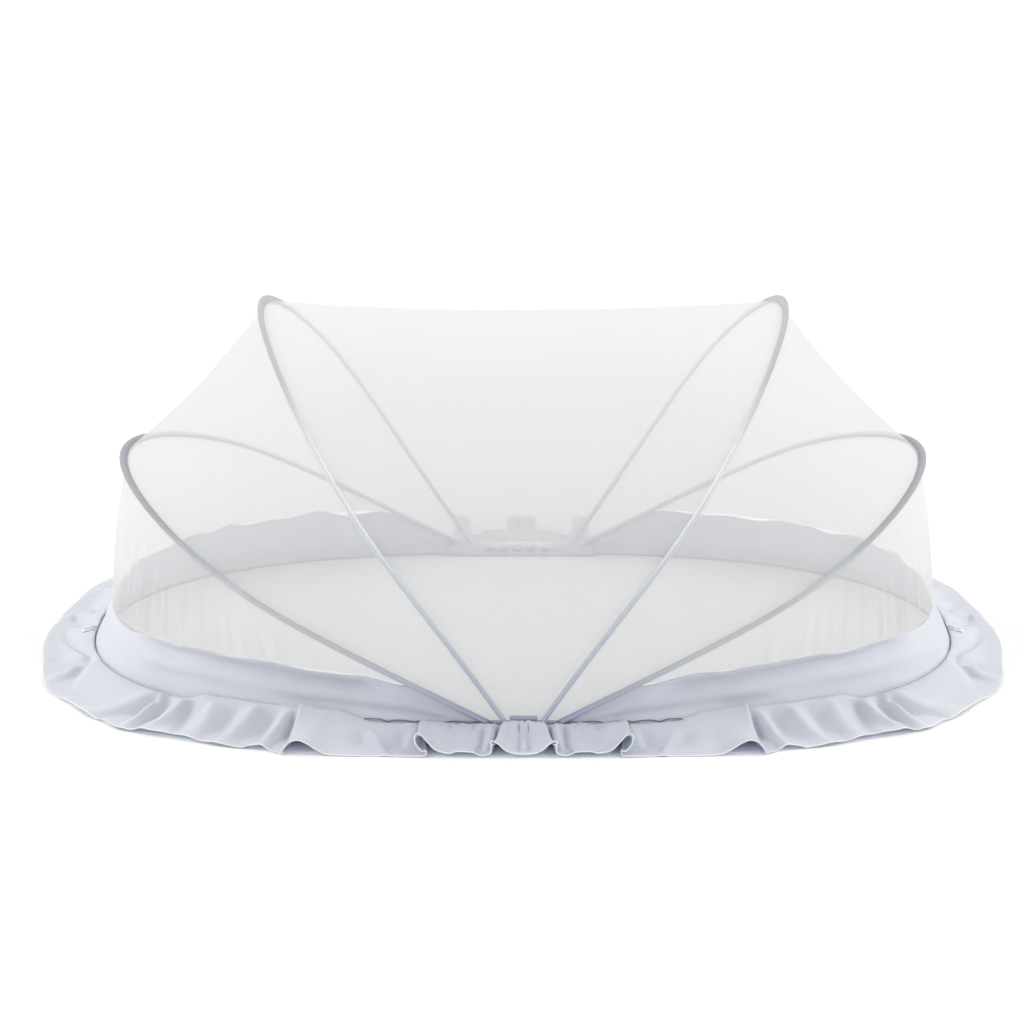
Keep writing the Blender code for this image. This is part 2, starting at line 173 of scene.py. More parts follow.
class Recipe:
    """One material and its nodes."""

    def __init__(self, name: str) -> None:
        """Starts a material with its shader."""
        self.material = bpy.data.materials.new(name)
        self.material.use_nodes = True
        self.tree = self.material.node_tree
        self.shader = self.tree.nodes["Principled BSDF"]

    def node(self, kind: str, settings: dict | None = None, inputs: dict | None = None) -> bpy.types.Node:
        """Adds a node.

        Args:
            kind: The node's type.
            settings: Its properties, set first.
            inputs: Values or signals for its sockets, by name or number.

        Returns:
            The node.
        """
        made = self.tree.nodes.new(kind)
        for key, value in (settings or {}).items():
            setattr(made, key, value)
        for key, value in (inputs or {}).items():
            self.plug(made.inputs[key], value)
        return made

    def plug(self, socket: bpy.types.NodeSocket, value: object) -> None:
        """Links a signal or socket to an input, or sets the input's own value.

        Args:
            socket: The input.
            value: A signal, a socket or a plain value.
        """
        if isinstance(value, Signal):
            self.tree.links.new(value.socket, socket)
        elif isinstance(value, bpy.types.NodeSocket):
            self.tree.links.new(value, socket)
        else:
            socket.default_value = value

    def wear(self, **sockets: object) -> None:
        """Sets the shader's sockets, whose names are written with _ for a space."""
        for name, value in sockets.items():
            self.plug(self.shader.inputs[name.replace("_", " ")], value)

    def cloth_axes(self) -> tuple[Signal, Signal]:
        """The two directions along the cloth, in metres."""
        uv = self.node("ShaderNodeUVMap", {"uv_map": CLOTH_UV})
        parts = self.node("ShaderNodeSeparateXYZ", inputs={"Vector": uv.outputs["UV"]})
        return Signal(self, parts.outputs["X"]), Signal(self, parts.outputs["Y"])

    def mottle(self, scale: float, detail: float, stretch: Colour = (1, 1, 1)) -> Signal:
        """Soft noise over the object, from 0 to 1.

        Args:
            scale: How many blotches there are in a metre.
            detail: How many finer octaves it has.
            stretch: How much finer it is along each axis.

        Returns:
            The noise.
        """
        spot = self.node("ShaderNodeTexCoord").outputs["Object"]
        mapped = self.node("ShaderNodeMapping", inputs={"Vector": spot, "Scale": stretch}).outputs["Vector"]
        grain = self.node("ShaderNodeTexNoise", inputs={"Vector": mapped, "Scale": scale, "Detail": detail})
        return Signal(self, grain.outputs[0])

    def glow_through(self, colour: Colour, share: float, cover: Signal | None = None) -> None:
        """Lets light pass through the cloth.

        Args:
            colour: The colour that it takes on.
            share: How much of the light passes.
            cover: How much of a place the threads cover, where the cloth is open between them.
        """
        through = self.node("ShaderNodeBsdfTranslucent", inputs={"Color": (*colour, 1)})
        surface = self.blend(share, self.shader.outputs["BSDF"], through.outputs["BSDF"])
        if cover is not None:
            clear = self.node("ShaderNodeBsdfTransparent")
            surface = self.blend(cover, clear.outputs["BSDF"], surface)
        self.tree.links.new(surface, self.tree.nodes["Material Output"].inputs["Surface"])

    def blend(self, share: Signal | float, first: object, second: object) -> bpy.types.NodeSocket:
        """Mixes two shaders."""
        return self.node("ShaderNodeMixShader", inputs={0: share, 1: first, 2: second}).outputs["Shader"]

    def distance_out(self) -> Signal:
        """How far a place is from the net's middle plane, to either side."""
        return self.object_axis("X").math("ABSOLUTE")

    def object_axis(self, axis: str) -> Signal:
        """A place's own X, Y or Z."""
        spot = self.node("ShaderNodeTexCoord").outputs["Object"]
        return Signal(self, self.node("ShaderNodeSeparateXYZ", inputs={"Vector": spot}).outputs[axis])

    def mix(self, factor: Signal, first: object, second: object) -> bpy.types.NodeSocket:
        """A colour between two others, which are values or sockets.

        Args:
            factor: How far it is towards the second.
            first: The first colour or its socket.
            second: The second.

        Returns:
            The mixed colour's socket.
        """
        ends = [(*end, 1) if isinstance(end, tuple) else end for end in (first, second)]
        inputs = {"Factor": factor, 6: ends[0], 7: ends[1]}
        return self.node("ShaderNodeMix", {"data_type": "RGBA"}, inputs).outputs[2]

    def relief(self, height: Signal, distance: float, strength: float) -> bpy.types.NodeSocket:
        """A normal that a height in shares of a distance gives."""
        inputs = {"Height": height, "Distance": distance, "Strength": strength}
        return self.node("ShaderNodeBump", inputs=inputs).outputs["Normal"]


@dataclass(frozen=True)
class SheerNet:
    """Fine knitted net with small six-sided holes."""

    name: str = "Sheer net"
    thread: Colour = (0.71, 0.712, 0.715)
    dust: Colour = (0.67, 0.672, 0.68)
    pitch: float = 0.0014
    hole: float = 0.46
    knit: float = 0.80
    roughness: float = 0.72
    through: Colour = (0.78, 0.782, 0.79)
    through_share: float = 0.54

    def make(self) -> bpy.types.Material:
        """Builds the material: three waves at 60 degrees leave holes between the threads.

        Returns:
            The material.
        """
        recipe = Recipe(self.name)
        along, across = recipe.cloth_axes()
        turn = 2 * math.pi / self.pitch
        waves = [
            (along * (turn * math.cos(angle)) + across * (turn * math.sin(angle))).cosine()
            for angle in (0, math.pi / 3, 2 * math.pi / 3)
        ]
        open_share = (waves[0] + waves[1] + waves[2]).between(-1.0, 1.0)
        recipe.wear(
            Base_Color=recipe.mix(recipe.mottle(6, 2), self.thread, self.dust),
            Roughness=self.roughness,
            Sheen_Weight=0.15,
        )
        cover = self.knit - open_share * (self.knit - self.hole)
        recipe.glow_through(self.through, self.through_share, cover)
        return recipe.material


@dataclass(frozen=True)
class PlainCloth:
    """Soft plain-woven cloth with a faint crumple; if ends is given, painted light pales its colour towards
    the net's ends.
    """

    name: str
    warp: Colour
    weft: Colour
    thread: float = 0.0006
    crumple: float = 0.0005
    roughness: float = 0.86
    sheen: float = 0.25
    through: Colour = (0.60, 0.66, 0.86)
    through_share: float = 0.16
    ends: Colour | None = None
    end_light_share: float = 0.38
    end_light_span: tuple[float, float] = (0.10, 0.58)

    def make(self) -> bpy.types.Material:
        """Builds the material: threads over and under, a soft crumple, a little change of tone, and painted
        light towards the ends.

        Returns:
            The material.
        """
        recipe = Recipe(self.name)
        along, across = recipe.cloth_axes()
        turn = 2 * math.pi / self.thread
        weave = (along * turn).cosine() * (across * turn).cosine()
        slub = recipe.mottle(9, 3)
        crumple = recipe.mottle(38, 3, (1, 1, 0.6))
        tone = (slub * 0.8 + weave * 0.06 + crumple * 0.2).between(0.25, 0.75)
        fine = recipe.relief(weave, self.thread / 6, 0.5)
        colour = recipe.mix(tone, self.warp, self.weft)
        # Painted light: the colour turns towards ends with distance from the middle plane, for the side lamps'
        # light on the ends.
        if self.ends:
            end_light = recipe.distance_out().between(*self.end_light_span) * self.end_light_share
            colour = recipe.mix(end_light, colour, self.ends)
        coarse = recipe.node(
            "ShaderNodeBump",
            inputs={"Height": crumple, "Distance": self.crumple, "Strength": 0.8, "Normal": fine},
        )
        recipe.wear(
            Base_Color=colour,
            Roughness=recipe.mottle(60, 2) * 0.1 + (self.roughness - 0.05),
            Sheen_Weight=self.sheen,
            Normal=coarse.outputs["Normal"],
        )
        recipe.glow_through(self.through, self.through_share)
        return recipe.material


@dataclass(frozen=True)
class RibbedTape:
    """Narrow woven tape with ribs across it; near_hub and crown paint shade on it, darker towards the hubs and
    at the crown.
    """

    name: str
    ridge: Colour
    groove: Colour
    near_hub: Colour | None = None
    hub_shade_span: tuple[float, float] = (0.03, 0.26)
    crown: Colour | None = None
    crown_shade_z: tuple[float, float] = (0.0, 1.0)
    rib: float = 0.0012
    roughness: float = 0.62

    def make(self) -> bpy.types.Material:
        """Builds the material: ribs across the tape, broken by its threads, and painted shade towards the hubs
        and at the crown.

        Returns:
            The material.
        """
        recipe = Recipe(self.name)
        along, across = recipe.cloth_axes()
        turn = 2 * math.pi / self.rib
        ribs = (along * turn).cosine() * 0.5 + 0.5
        threads = (across * (turn * 1.5)).cosine() * 0.5 + 0.5
        worn = recipe.mottle(14, 3)
        tone = (ribs * 0.45 + threads * 0.2 + worn * 0.5).between(0.1, 1.0)
        colour = recipe.mix(tone, self.groove, self.ridge)
        # Painted shade: darker and bluer towards the hubs, where the sleeves run down into shade at the feet.
        if self.near_hub:
            colour = recipe.mix(recipe.distance_out().between(*self.hub_shade_span), self.near_hub, colour)
        # Painted shade: darker towards the arch's crown, by height.
        if self.crown:
            colour = recipe.mix(recipe.object_axis("Z").between(*self.crown_shade_z), colour, self.crown)
        recipe.wear(
            Base_Color=colour,
            Roughness=worn * 0.15 + (self.roughness - 0.08),
            Sheen_Weight=0.1,
            Normal=recipe.relief(ribs * 0.7 + threads * 0.3, self.rib / 5, 0.6),
        )
        return recipe.material


@dataclass(frozen=True)
class PaleFloor:
    """A plain pale studio floor."""

    name: str = "Studio floor"
    shade: Colour = (0.83, 0.832, 0.838)

    def make(self) -> bpy.types.Material:
        """Builds the material."""
        recipe = Recipe(self.name)
        recipe.wear(Base_Color=(*self.shade, 1), Roughness=0.9)
        return recipe.material


@dataclass(frozen=True)
class Finishes:
    """Every finish of the net, made once."""

    net: bpy.types.Material
    tall_tape: bpy.types.Material
    low_tape: bpy.types.Material
    band: bpy.types.Material
    ruffle: bpy.types.Material
    lining: bpy.types.Material
    hem: bpy.types.Material
    pocket: bpy.types.Material
    thread: bpy.types.Material
    shade: bpy.types.Material
    cord: bpy.types.Material

    @classmethod
    def mixed(cls) -> "Finishes":
        """Makes the materials."""
        return cls(
            net=SheerNet().make(),
            # Both tapes paint shade: darker and bluer near the hubs, darker at the crown.
            tall_tape=RibbedTape(
                "Pale binding tape",
                ridge=(0.64, 0.655, 0.68),
                groove=(0.53, 0.545, 0.57),
                near_hub=(0.42, 0.45, 0.54),
                crown=(0.37, 0.39, 0.415),
                crown_shade_z=(0.36, 0.46),
            ).make(),
            low_tape=RibbedTape(
                "Grey binding tape",
                ridge=(0.56, 0.575, 0.60),
                groove=(0.46, 0.475, 0.50),
                near_hub=(0.33, 0.36, 0.50),
                crown=(0.33, 0.35, 0.38),
                crown_shade_z=(0.19, 0.26),
            ).make(),
            # The band's ends colour is painted light: it pales the band towards both ends.
            band=PlainCloth(
                "Band cloth",
                warp=(0.67, 0.69, 0.76),
                weft=(0.74, 0.755, 0.82),
                through=(0.80, 0.82, 0.90),
                through_share=0.26,
                ends=(0.93, 0.935, 0.95),
                end_light_share=0.24,
            ).make(),
            # The ruffle's ends colour is painted light: it pales the ruffle towards both ends.
            ruffle=PlainCloth(
                "Ruffle cloth",
                warp=(0.575, 0.605, 0.685),
                weft=(0.645, 0.675, 0.745),
                ends=(0.87, 0.87, 0.88),
            ).make(),
            # Painted light: the ruffle's underside is paler and bluer than its top, for light that comes
            # through the cloth into its shaded underside and curl.
            lining=PlainCloth(
                "Ruffle lining", (0.82, 0.87, 1.0), (0.88, 0.92, 1.0), through_share=0.06
            ).make(),
            # Painted highlight: the rolled hem is much lighter than the ruffle, so its edge reads as a bright
            # line.
            hem=PlainCloth("Hem edge, painted highlight", (0.84, 0.86, 0.90), (0.90, 0.91, 0.94), sheen=0.4).make(),
            # Painted shade: a darker, bluer copy of the band cloth for the front pocket and its web, which lie
            # in shade.
            pocket=PlainCloth("Pocket cloth, painted shade", (0.36, 0.39, 0.52), (0.48, 0.51, 0.63)).make(),
            thread=RibbedTape("Sewing thread", (0.60, 0.62, 0.69), (0.43, 0.45, 0.53), rib=0.0006).make(),
            # Painted shadow: near-black cord laid in the dark gap at the front seam, along the band's foot and
            # across the back pocket's gathers.
            shade=RibbedTape(
                "Painted shadow thread", (0.09, 0.10, 0.14), (0.05, 0.055, 0.08), rib=0.0006
            ).make(),
            cord=RibbedTape("Loop cord", (0.92, 0.92, 0.94), (0.78, 0.79, 0.84), rib=0.0010).make(),
        )


def finished(shape: bmesh.types.BMesh, name: str, finish: bpy.types.Material) -> bpy.types.Object:
    """Turns a bmesh into a smooth piece at the origin.

    Args:
        shape: The bmesh, which is freed.
        name: The piece's name.
        finish: The material.

    Returns:
        The piece.
    """
    mesh = bpy.data.meshes.new(name)
    shape.to_mesh(mesh)
    shape.free()
    mesh.shade_smooth()
    mesh.materials.append(finish)
    piece = bpy.data.objects.new(name, mesh)
    bpy.context.scene.collection.objects.link(piece)
    return piece


def wrapped(
    name: str,
    columns: int,
    rows: int,
    place: Place,
    stretch: Place | tuple[float, float],
    finish: bpy.types.Material,
    closed: bool = False,
    capped: bool = False,
) -> bpy.types.Object:
    """Makes a piece from a grid of cloth that is laid or wrapped where it belongs.

    Args:
        name: The piece's name.
        columns: How many faces the grid has along the cloth.
        rows: How many it has across.
        place: Gives each grid corner its place, from its two shares.
        stretch: The cloth's length and width, or a function that gives a corner's distances along and across.
        finish: The material.
        closed: Whether edges that meet are joined.
        capped: Whether open ends are filled.

    Returns:
        The piece, at the origin.
    """
    shape = bmesh.new()
    bmesh.ops.create_grid(shape, x_segments=columns, y_segments=rows, size=1)
    layer = shape.loops.layers.uv.new(CLOTH_UV)
    for face in shape.faces:
        for corner in face.loops:
            u, v = (corner.vert.co.x + 1) / 2, (corner.vert.co.y + 1) / 2
            corner[layer].uv = (stretch(u, v) if callable(stretch) else (u * stretch[0], v * stretch[1]))[:2]
    for vertex in shape.verts:
        vertex.co = place((vertex.co.x + 1) / 2, (vertex.co.y + 1) / 2)
    if closed:
        bmesh.ops.remove_doubles(shape, verts=shape.verts, dist=WELD)
    if capped:
        bmesh.ops.holes_fill(shape, edges=[e for e in shape.edges if e.is_boundary])
    if closed:
        bmesh.ops.recalc_face_normals(shape, faces=shape.faces)
    return finished(shape, name, finish)


def thicken(piece: bpy.types.Object, thickness: float, offset: float = 0.0) -> None:
    """Gives a sheet its thickness.

    Args:
        piece: The sheet.
        thickness: How thick it is.
        offset: Where the sheet lies in it, from -1 to 1.
    """
    solid = piece.modifiers.new("Thickness", "SOLIDIFY")
    solid.thickness = thickness
    solid.offset = offset
    solid.use_even_offset = False


def report(piece: bpy.types.Object, slot: Slot, *stands_for: str) -> None:
    """Puts a piece on the net's one body, hides the nodes that it stands for, and logs it.

    Args:
        piece: The piece.
        slot: Its slot; not used.
        stands_for: The nodes that it replaces.
    """
    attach(piece, "root")
    if stands_for:
        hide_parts(*stands_for)
    log.info("%s: %d faces", piece.name, len(piece.data.polygons))


@dataclass(frozen=True)
class Arch:
    """One sprung hoop: its rise along its own plane, that plane's lean, its feet, and how it bulges."""

    word: str
    rise: float
    lean: float
    front_foot: float
    back_foot: float
    bulge: tuple[float, float]
    crown: tuple[float, float]
    half_depth: float = 0.316
    foot_z: float = 0.020
    net_in: float = 0.0040
    net_beside: float = 0.0018
    step: float = 0.001

    def point(self, side: Side, t: float) -> Vector:
        """The hoop's axis, with t from 0 at the front foot to pi at the back foot.

        Args:
            side: The half of the net.
            t: The angle along the hoop.

        Returns:
            The place on the axis.
        """
        sine, cosine = math.sin(t), math.cos(t)
        along = -cosine * (1 + self.bulge[0] * sine**2 + self.bulge[1] * sine**4)
        up = sine * (1 + self.crown[0] * cosine**2 + self.crown[1] * cosine**4)
        foot = (self.front_foot + self.back_foot) / 2 + (self.back_foot - self.front_foot) / 2 * along
        out = foot + self.rise * up * math.sin(self.lean)
        height = self.foot_z + self.rise * up * math.cos(self.lean)
        return Vector((side.value * out, self.half_depth * along, height))

    def tangent(self, side: Side, t: float) -> Vector:
        """The way that the hoop runs at t."""
        return (self.point(side, t + self.step) - self.point(side, t - self.step)).normalized()

    def beside(self, side: Side) -> Vector:
        """The hoop's plane's normal, pointing outboard.

        Args:
            side: The half of the net.

        Returns:
            The normal.
        """
        run = self.point(side, math.pi) - self.point(side, 0)
        rise = Vector((side.value * math.sin(self.lean), 0, math.cos(self.lean)))
        normal = run.cross(rise).normalized()
        return normal if normal.x * side.value > 0 else -normal

    def inward(self, side: Side, t: float) -> Vector:
        """The way from the hoop's axis towards its middle.

        Args:
            side: The half of the net.
            t: The angle along the hoop.

        Returns:
            The direction.
        """
        feet = (self.point(side, 0) + self.point(side, math.pi)) / 2
        middle = feet + Vector((0, 0, self.rise * math.cos(self.lean) / 2))
        inward = self.tangent(side, t).cross(self.beside(side)).normalized()
        return inward if inward.dot(middle - self.point(side, t)) > 0 else -inward

    def edge(self, side: Side, t: float, outboard: bool) -> Vector:
        """Where a net panel meets this hoop's sleeve.

        Args:
            side: The half of the net.
            t: The angle along the hoop.
            outboard: Whether the panel is on the hoop's outboard side.

        Returns:
            The panel's edge.
        """
        way = 1 if outboard else -1
        inward, beside = self.inward(side, t), self.beside(side)
        return self.point(side, t) + inward * self.net_in + beside * way * self.net_beside


TALL = Arch("tall", 0.551, 0.579, 0.023, 0.079, (1.041, -0.297), (-0.338, 0.419))
LOW = Arch("low", 0.541, 1.079, 0.044, 0.100, (0.433, -0.062), (-0.222, 0.433))


def span(low_deg: float, share: float) -> float:
    """The angle along an arch for a share of the way from low_deg at the front to the same at the back."""
    low = math.radians(low_deg)
    return low + (math.pi - 2 * low) * share


@dataclass
class Seam:
    """The superellipse on which the band is sewn to the ruffle, by its length from the front's middle."""

    half_length: float = 0.600
    half_depth: float = 0.321
    power: float = 2.42
    z: float = 0.018
    samples: int = 4000

    def __post_init__(self) -> None:
        """Measures the line."""
        angle = np.linspace(-math.pi / 2, 3 * math.pi / 2, self.samples + 1)
        cosine, sine = np.cos(angle), np.sin(angle)
        self.x = self.half_length * np.sign(cosine) * np.abs(cosine) ** (2 / self.power)
        self.y = self.half_depth * np.sign(sine) * np.abs(sine) ** (2 / self.power)
        steps = np.hypot(np.diff(self.x), np.diff(self.y))
        self.s = np.concatenate(([0.0], np.cumsum(steps)))
        self.length = float(self.s[-1])

    def at(self, s: float) -> Vector:
        """The point at a length along the line."""
        s = s % self.length
        return Vector((float(np.interp(s, self.s, self.x)), float(np.interp(s, self.s, self.y)), 0))

    def outward(self, x: float, y: float) -> Vector:
        """The outward direction at a point of the line.

        Args:
            x: The point's X.
            y: The point's Y.

        Returns:
            The direction.
        """
        power = self.power - 1
        across = math.copysign(abs(x / self.half_length) ** power / self.half_length, x)
        deep = math.copysign(abs(y / self.half_depth) ** power / self.half_depth, y)
        return Vector((across, deep, 0)).normalized()

    def reach(self, x: float, y: float) -> float:
        """How far the line lies from the middle, as a share of the distance to (x, y)."""
        across, deep = abs(x / self.half_length), abs(y / self.half_depth)
        return (across**self.power + deep**self.power) ** (-1 / self.power)


SEAM = Seam()


@dataclass(frozen=True)
class Course:
    """A size that changes along the seam from mark to mark, smoothly and without overshoot."""

    marks: np.ndarray
    sizes: np.ndarray
    slopes: np.ndarray

    @classmethod
    def through(cls, marks: Sequence[float], sizes: Sequence[float]) -> "Course":
        """Draws the course through marks and their sizes.

        Args:
            marks: The marks, rising.
            sizes: The size at each.

        Returns:
            The course.
        """
        at, size = np.array(marks, float), np.array(sizes, float)
        steps = np.diff(size) / np.diff(at)
        slopes = np.zeros(len(at))
        rising = steps[1:] * steps[:-1] > 0
        slopes[1:-1][rising] = 2 * (steps[1:] * steps[:-1])[rising] / (steps[1:] + steps[:-1])[rising]
        slopes[0], slopes[-1] = 0.0, steps[-1]
        return cls(at, size, slopes)

    def at(self, mark: float) -> float:
        """The size at a mark.

        Args:
            mark: The place along the course.

        Returns:
            The size.
        """
        i = int(np.clip(np.searchsorted(self.marks, mark) - 1, 0, len(self.marks) - 2))
        width = self.marks[i + 1] - self.marks[i]
        x = min(max((mark - self.marks[i]) / width, 0.0), 1.0)
        rest = (1 + 2 * x) * (1 - x) ** 2 * self.sizes[i] + x * x * (3 - 2 * x) * self.sizes[i + 1]
        lift = x * (1 - x) ** 2 * width * self.slopes[i] - x * x * (1 - x) * width * self.slopes[i + 1]
        return float(rest + lift)


@dataclass(frozen=True)
class HubRise:
    """How the band's top rises beside a hub: its height there, its start in X and its length."""

    z: float
    start: float
    length: float


@dataclass(frozen=True)
class Trough:
    """A long soft hollow along the front of the band: its ends in X, its height as a share, and its depth."""

    start: float
    stop: float
    share_in: float
    share_out: float
    depth: float
    spread: float
    fade: float = 0.05

    def at(self, x: float, share: float) -> float:
        """How far it draws the cloth in, at a distance from the middle plane and a share of the height.

        Args:
            x: The distance from the middle plane.
            share: The share of the band's height.

        Returns:
            The depth there.
        """
        along = (x - self.start) / (self.stop - self.start)
        middle = self.share_in + (self.share_out - self.share_in) * along
        ends = smoothstep((x - self.start) / self.fade) * smoothstep((self.stop - x) / self.fade)
        return self.depth * ends * math.exp(-(((share - middle) / self.spread) ** 2))


@dataclass
class BandWall:
    """The cloth band that stands on the floor as a low wall, in a left and a right length."""

    thickness: float = 0.0012
    foot_deg: float = 0.8
    top_z: float = 0.082
    front_rise: HubRise = HubRise(0.0725, 0.15, 0.25)
    back_rise: HubRise = HubRise(0.055, 0.10, 0.22)
    back_extra: float = 0.004
    end_drop: float = 0.008
    lean: float = 0.024
    below_seam: float = 0.2
    under_rod: float = 0.0020
    rod_near: float = 0.045
    columns: int = 300
    rows: int = 24
    wave: float = 0.0042
    end_lean: float = 0.008
    edge_wave: float = 0.0036
    back_waviness: float = 2.0
    flat: tuple[float, float] = (0.085, 1.55)
    troughs: tuple[Trough, ...] = (
        Trough(0.16, 0.54, 0.78, 0.86, 0.0115, 0.11),
        Trough(0.24, 0.53, 0.52, 0.62, -0.0030, 0.16),
        Trough(0.08, 0.34, 0.26, 0.36, 0.0060, 0.13),
    )

    def line(self, side: Side, t: float) -> tuple[Vector, Vector, Vector]:
        """The seam point below an arch point, the outward way there, and the band's top.

        Args:
            side: The half of the net.
            t: The angle along the low arch.

        Returns:
            The seam point, the direction and the top.
        """
        rod = LOW.point(side, t)
        reach = SEAM.reach(rod.x, rod.y)
        foot = Vector((rod.x * reach, rod.y * reach, SEAM.z))
        outward = SEAM.outward(foot.x, foot.y)
        hub = self.front_rise if foot.y < 0 else self.back_rise
        grown = smoothstep((abs(foot.x) - hub.start) / hub.length)
        full = hub.z + (self.top_z - hub.z) * grown - self.end_drop * outward.x**2
        full += self.back_extra * max(0, outward.y)
        top_z = min(full, rod.z - self.under_rod)
        lean = (self.lean + self.end_lean * outward.x**2) * (top_z - SEAM.z) / (self.top_z - SEAM.z)
        top = foot - outward * lean
        top = top.lerp(Vector((rod.x, rod.y, 0)), smoothstep((full - rod.z + self.rod_near) / self.rod_near))
        top.z = top_z
        return foot, outward, top

    def place(self, side: Side, u: float, v: float) -> Vector:
        """Where the band's cloth stands: upright to the seam, leaning in above it, with soft waves.

        Args:
            side: The half of the net.
            u: The share of the way along it.
            v: The share of its height.

        Returns:
            The place.
        """
        foot, outward, top = self.line(side, span(self.foot_deg, u))
        inset = outward * self.thickness / 2
        if v < self.below_seam:
            return Vector((foot.x, foot.y, SEAM.z * v / self.below_seam)) - inset
        share = (v - self.below_seam) / (1 - self.below_seam)
        height = max(0, (top.z - SEAM.z) / (self.top_z - SEAM.z))
        long_fold = ripple(foot.x * 3.2, foot.y * 4 + share * 2.8, 3.1)
        short_fold = 0.45 * ripple(foot.x * 11, foot.y * 13 + share * 1.6, 7.7)
        swell = math.sin(math.pi * min(1, share * 1.08)) * (long_fold + short_fold) * self.wave
        drawn = sum(trough.at(abs(foot.x), share) for trough in self.troughs) if foot.y < 0 else 0
        lift = ripple(foot.x * 22, foot.y * 22, 8.4) * self.edge_wave * share**2
        if foot.y > 0:
            lift *= self.back_waviness
        sideways = outward * (swell - drawn) * height - inset
        return foot.lerp(top, share) + sideways + Vector((0, 0, lift * height))

    def build(self, side: Side, finishes: Finishes) -> None:
        """Makes one length of the band.

        Args:
            side: The half of the net.
            finishes: The finishes.
        """
        name = f"band_cloth_{side.word}"
        flat = (self.flat[1], self.flat[0])
        piece = wrapped(name, self.columns, self.rows, partial(self.place, side), flat, finishes.band)
        thicken(piece, self.thickness)
        report(piece, Slot.BAND, f"band_{side.word}")


BAND = BandWall()


@dataclass(frozen=True)
class Cut:
    """How a net panel is cut: its flat width, length and area, and its faces across and along."""

    width: float
    length: float
    area: float
    rows: int
    columns: int = 150


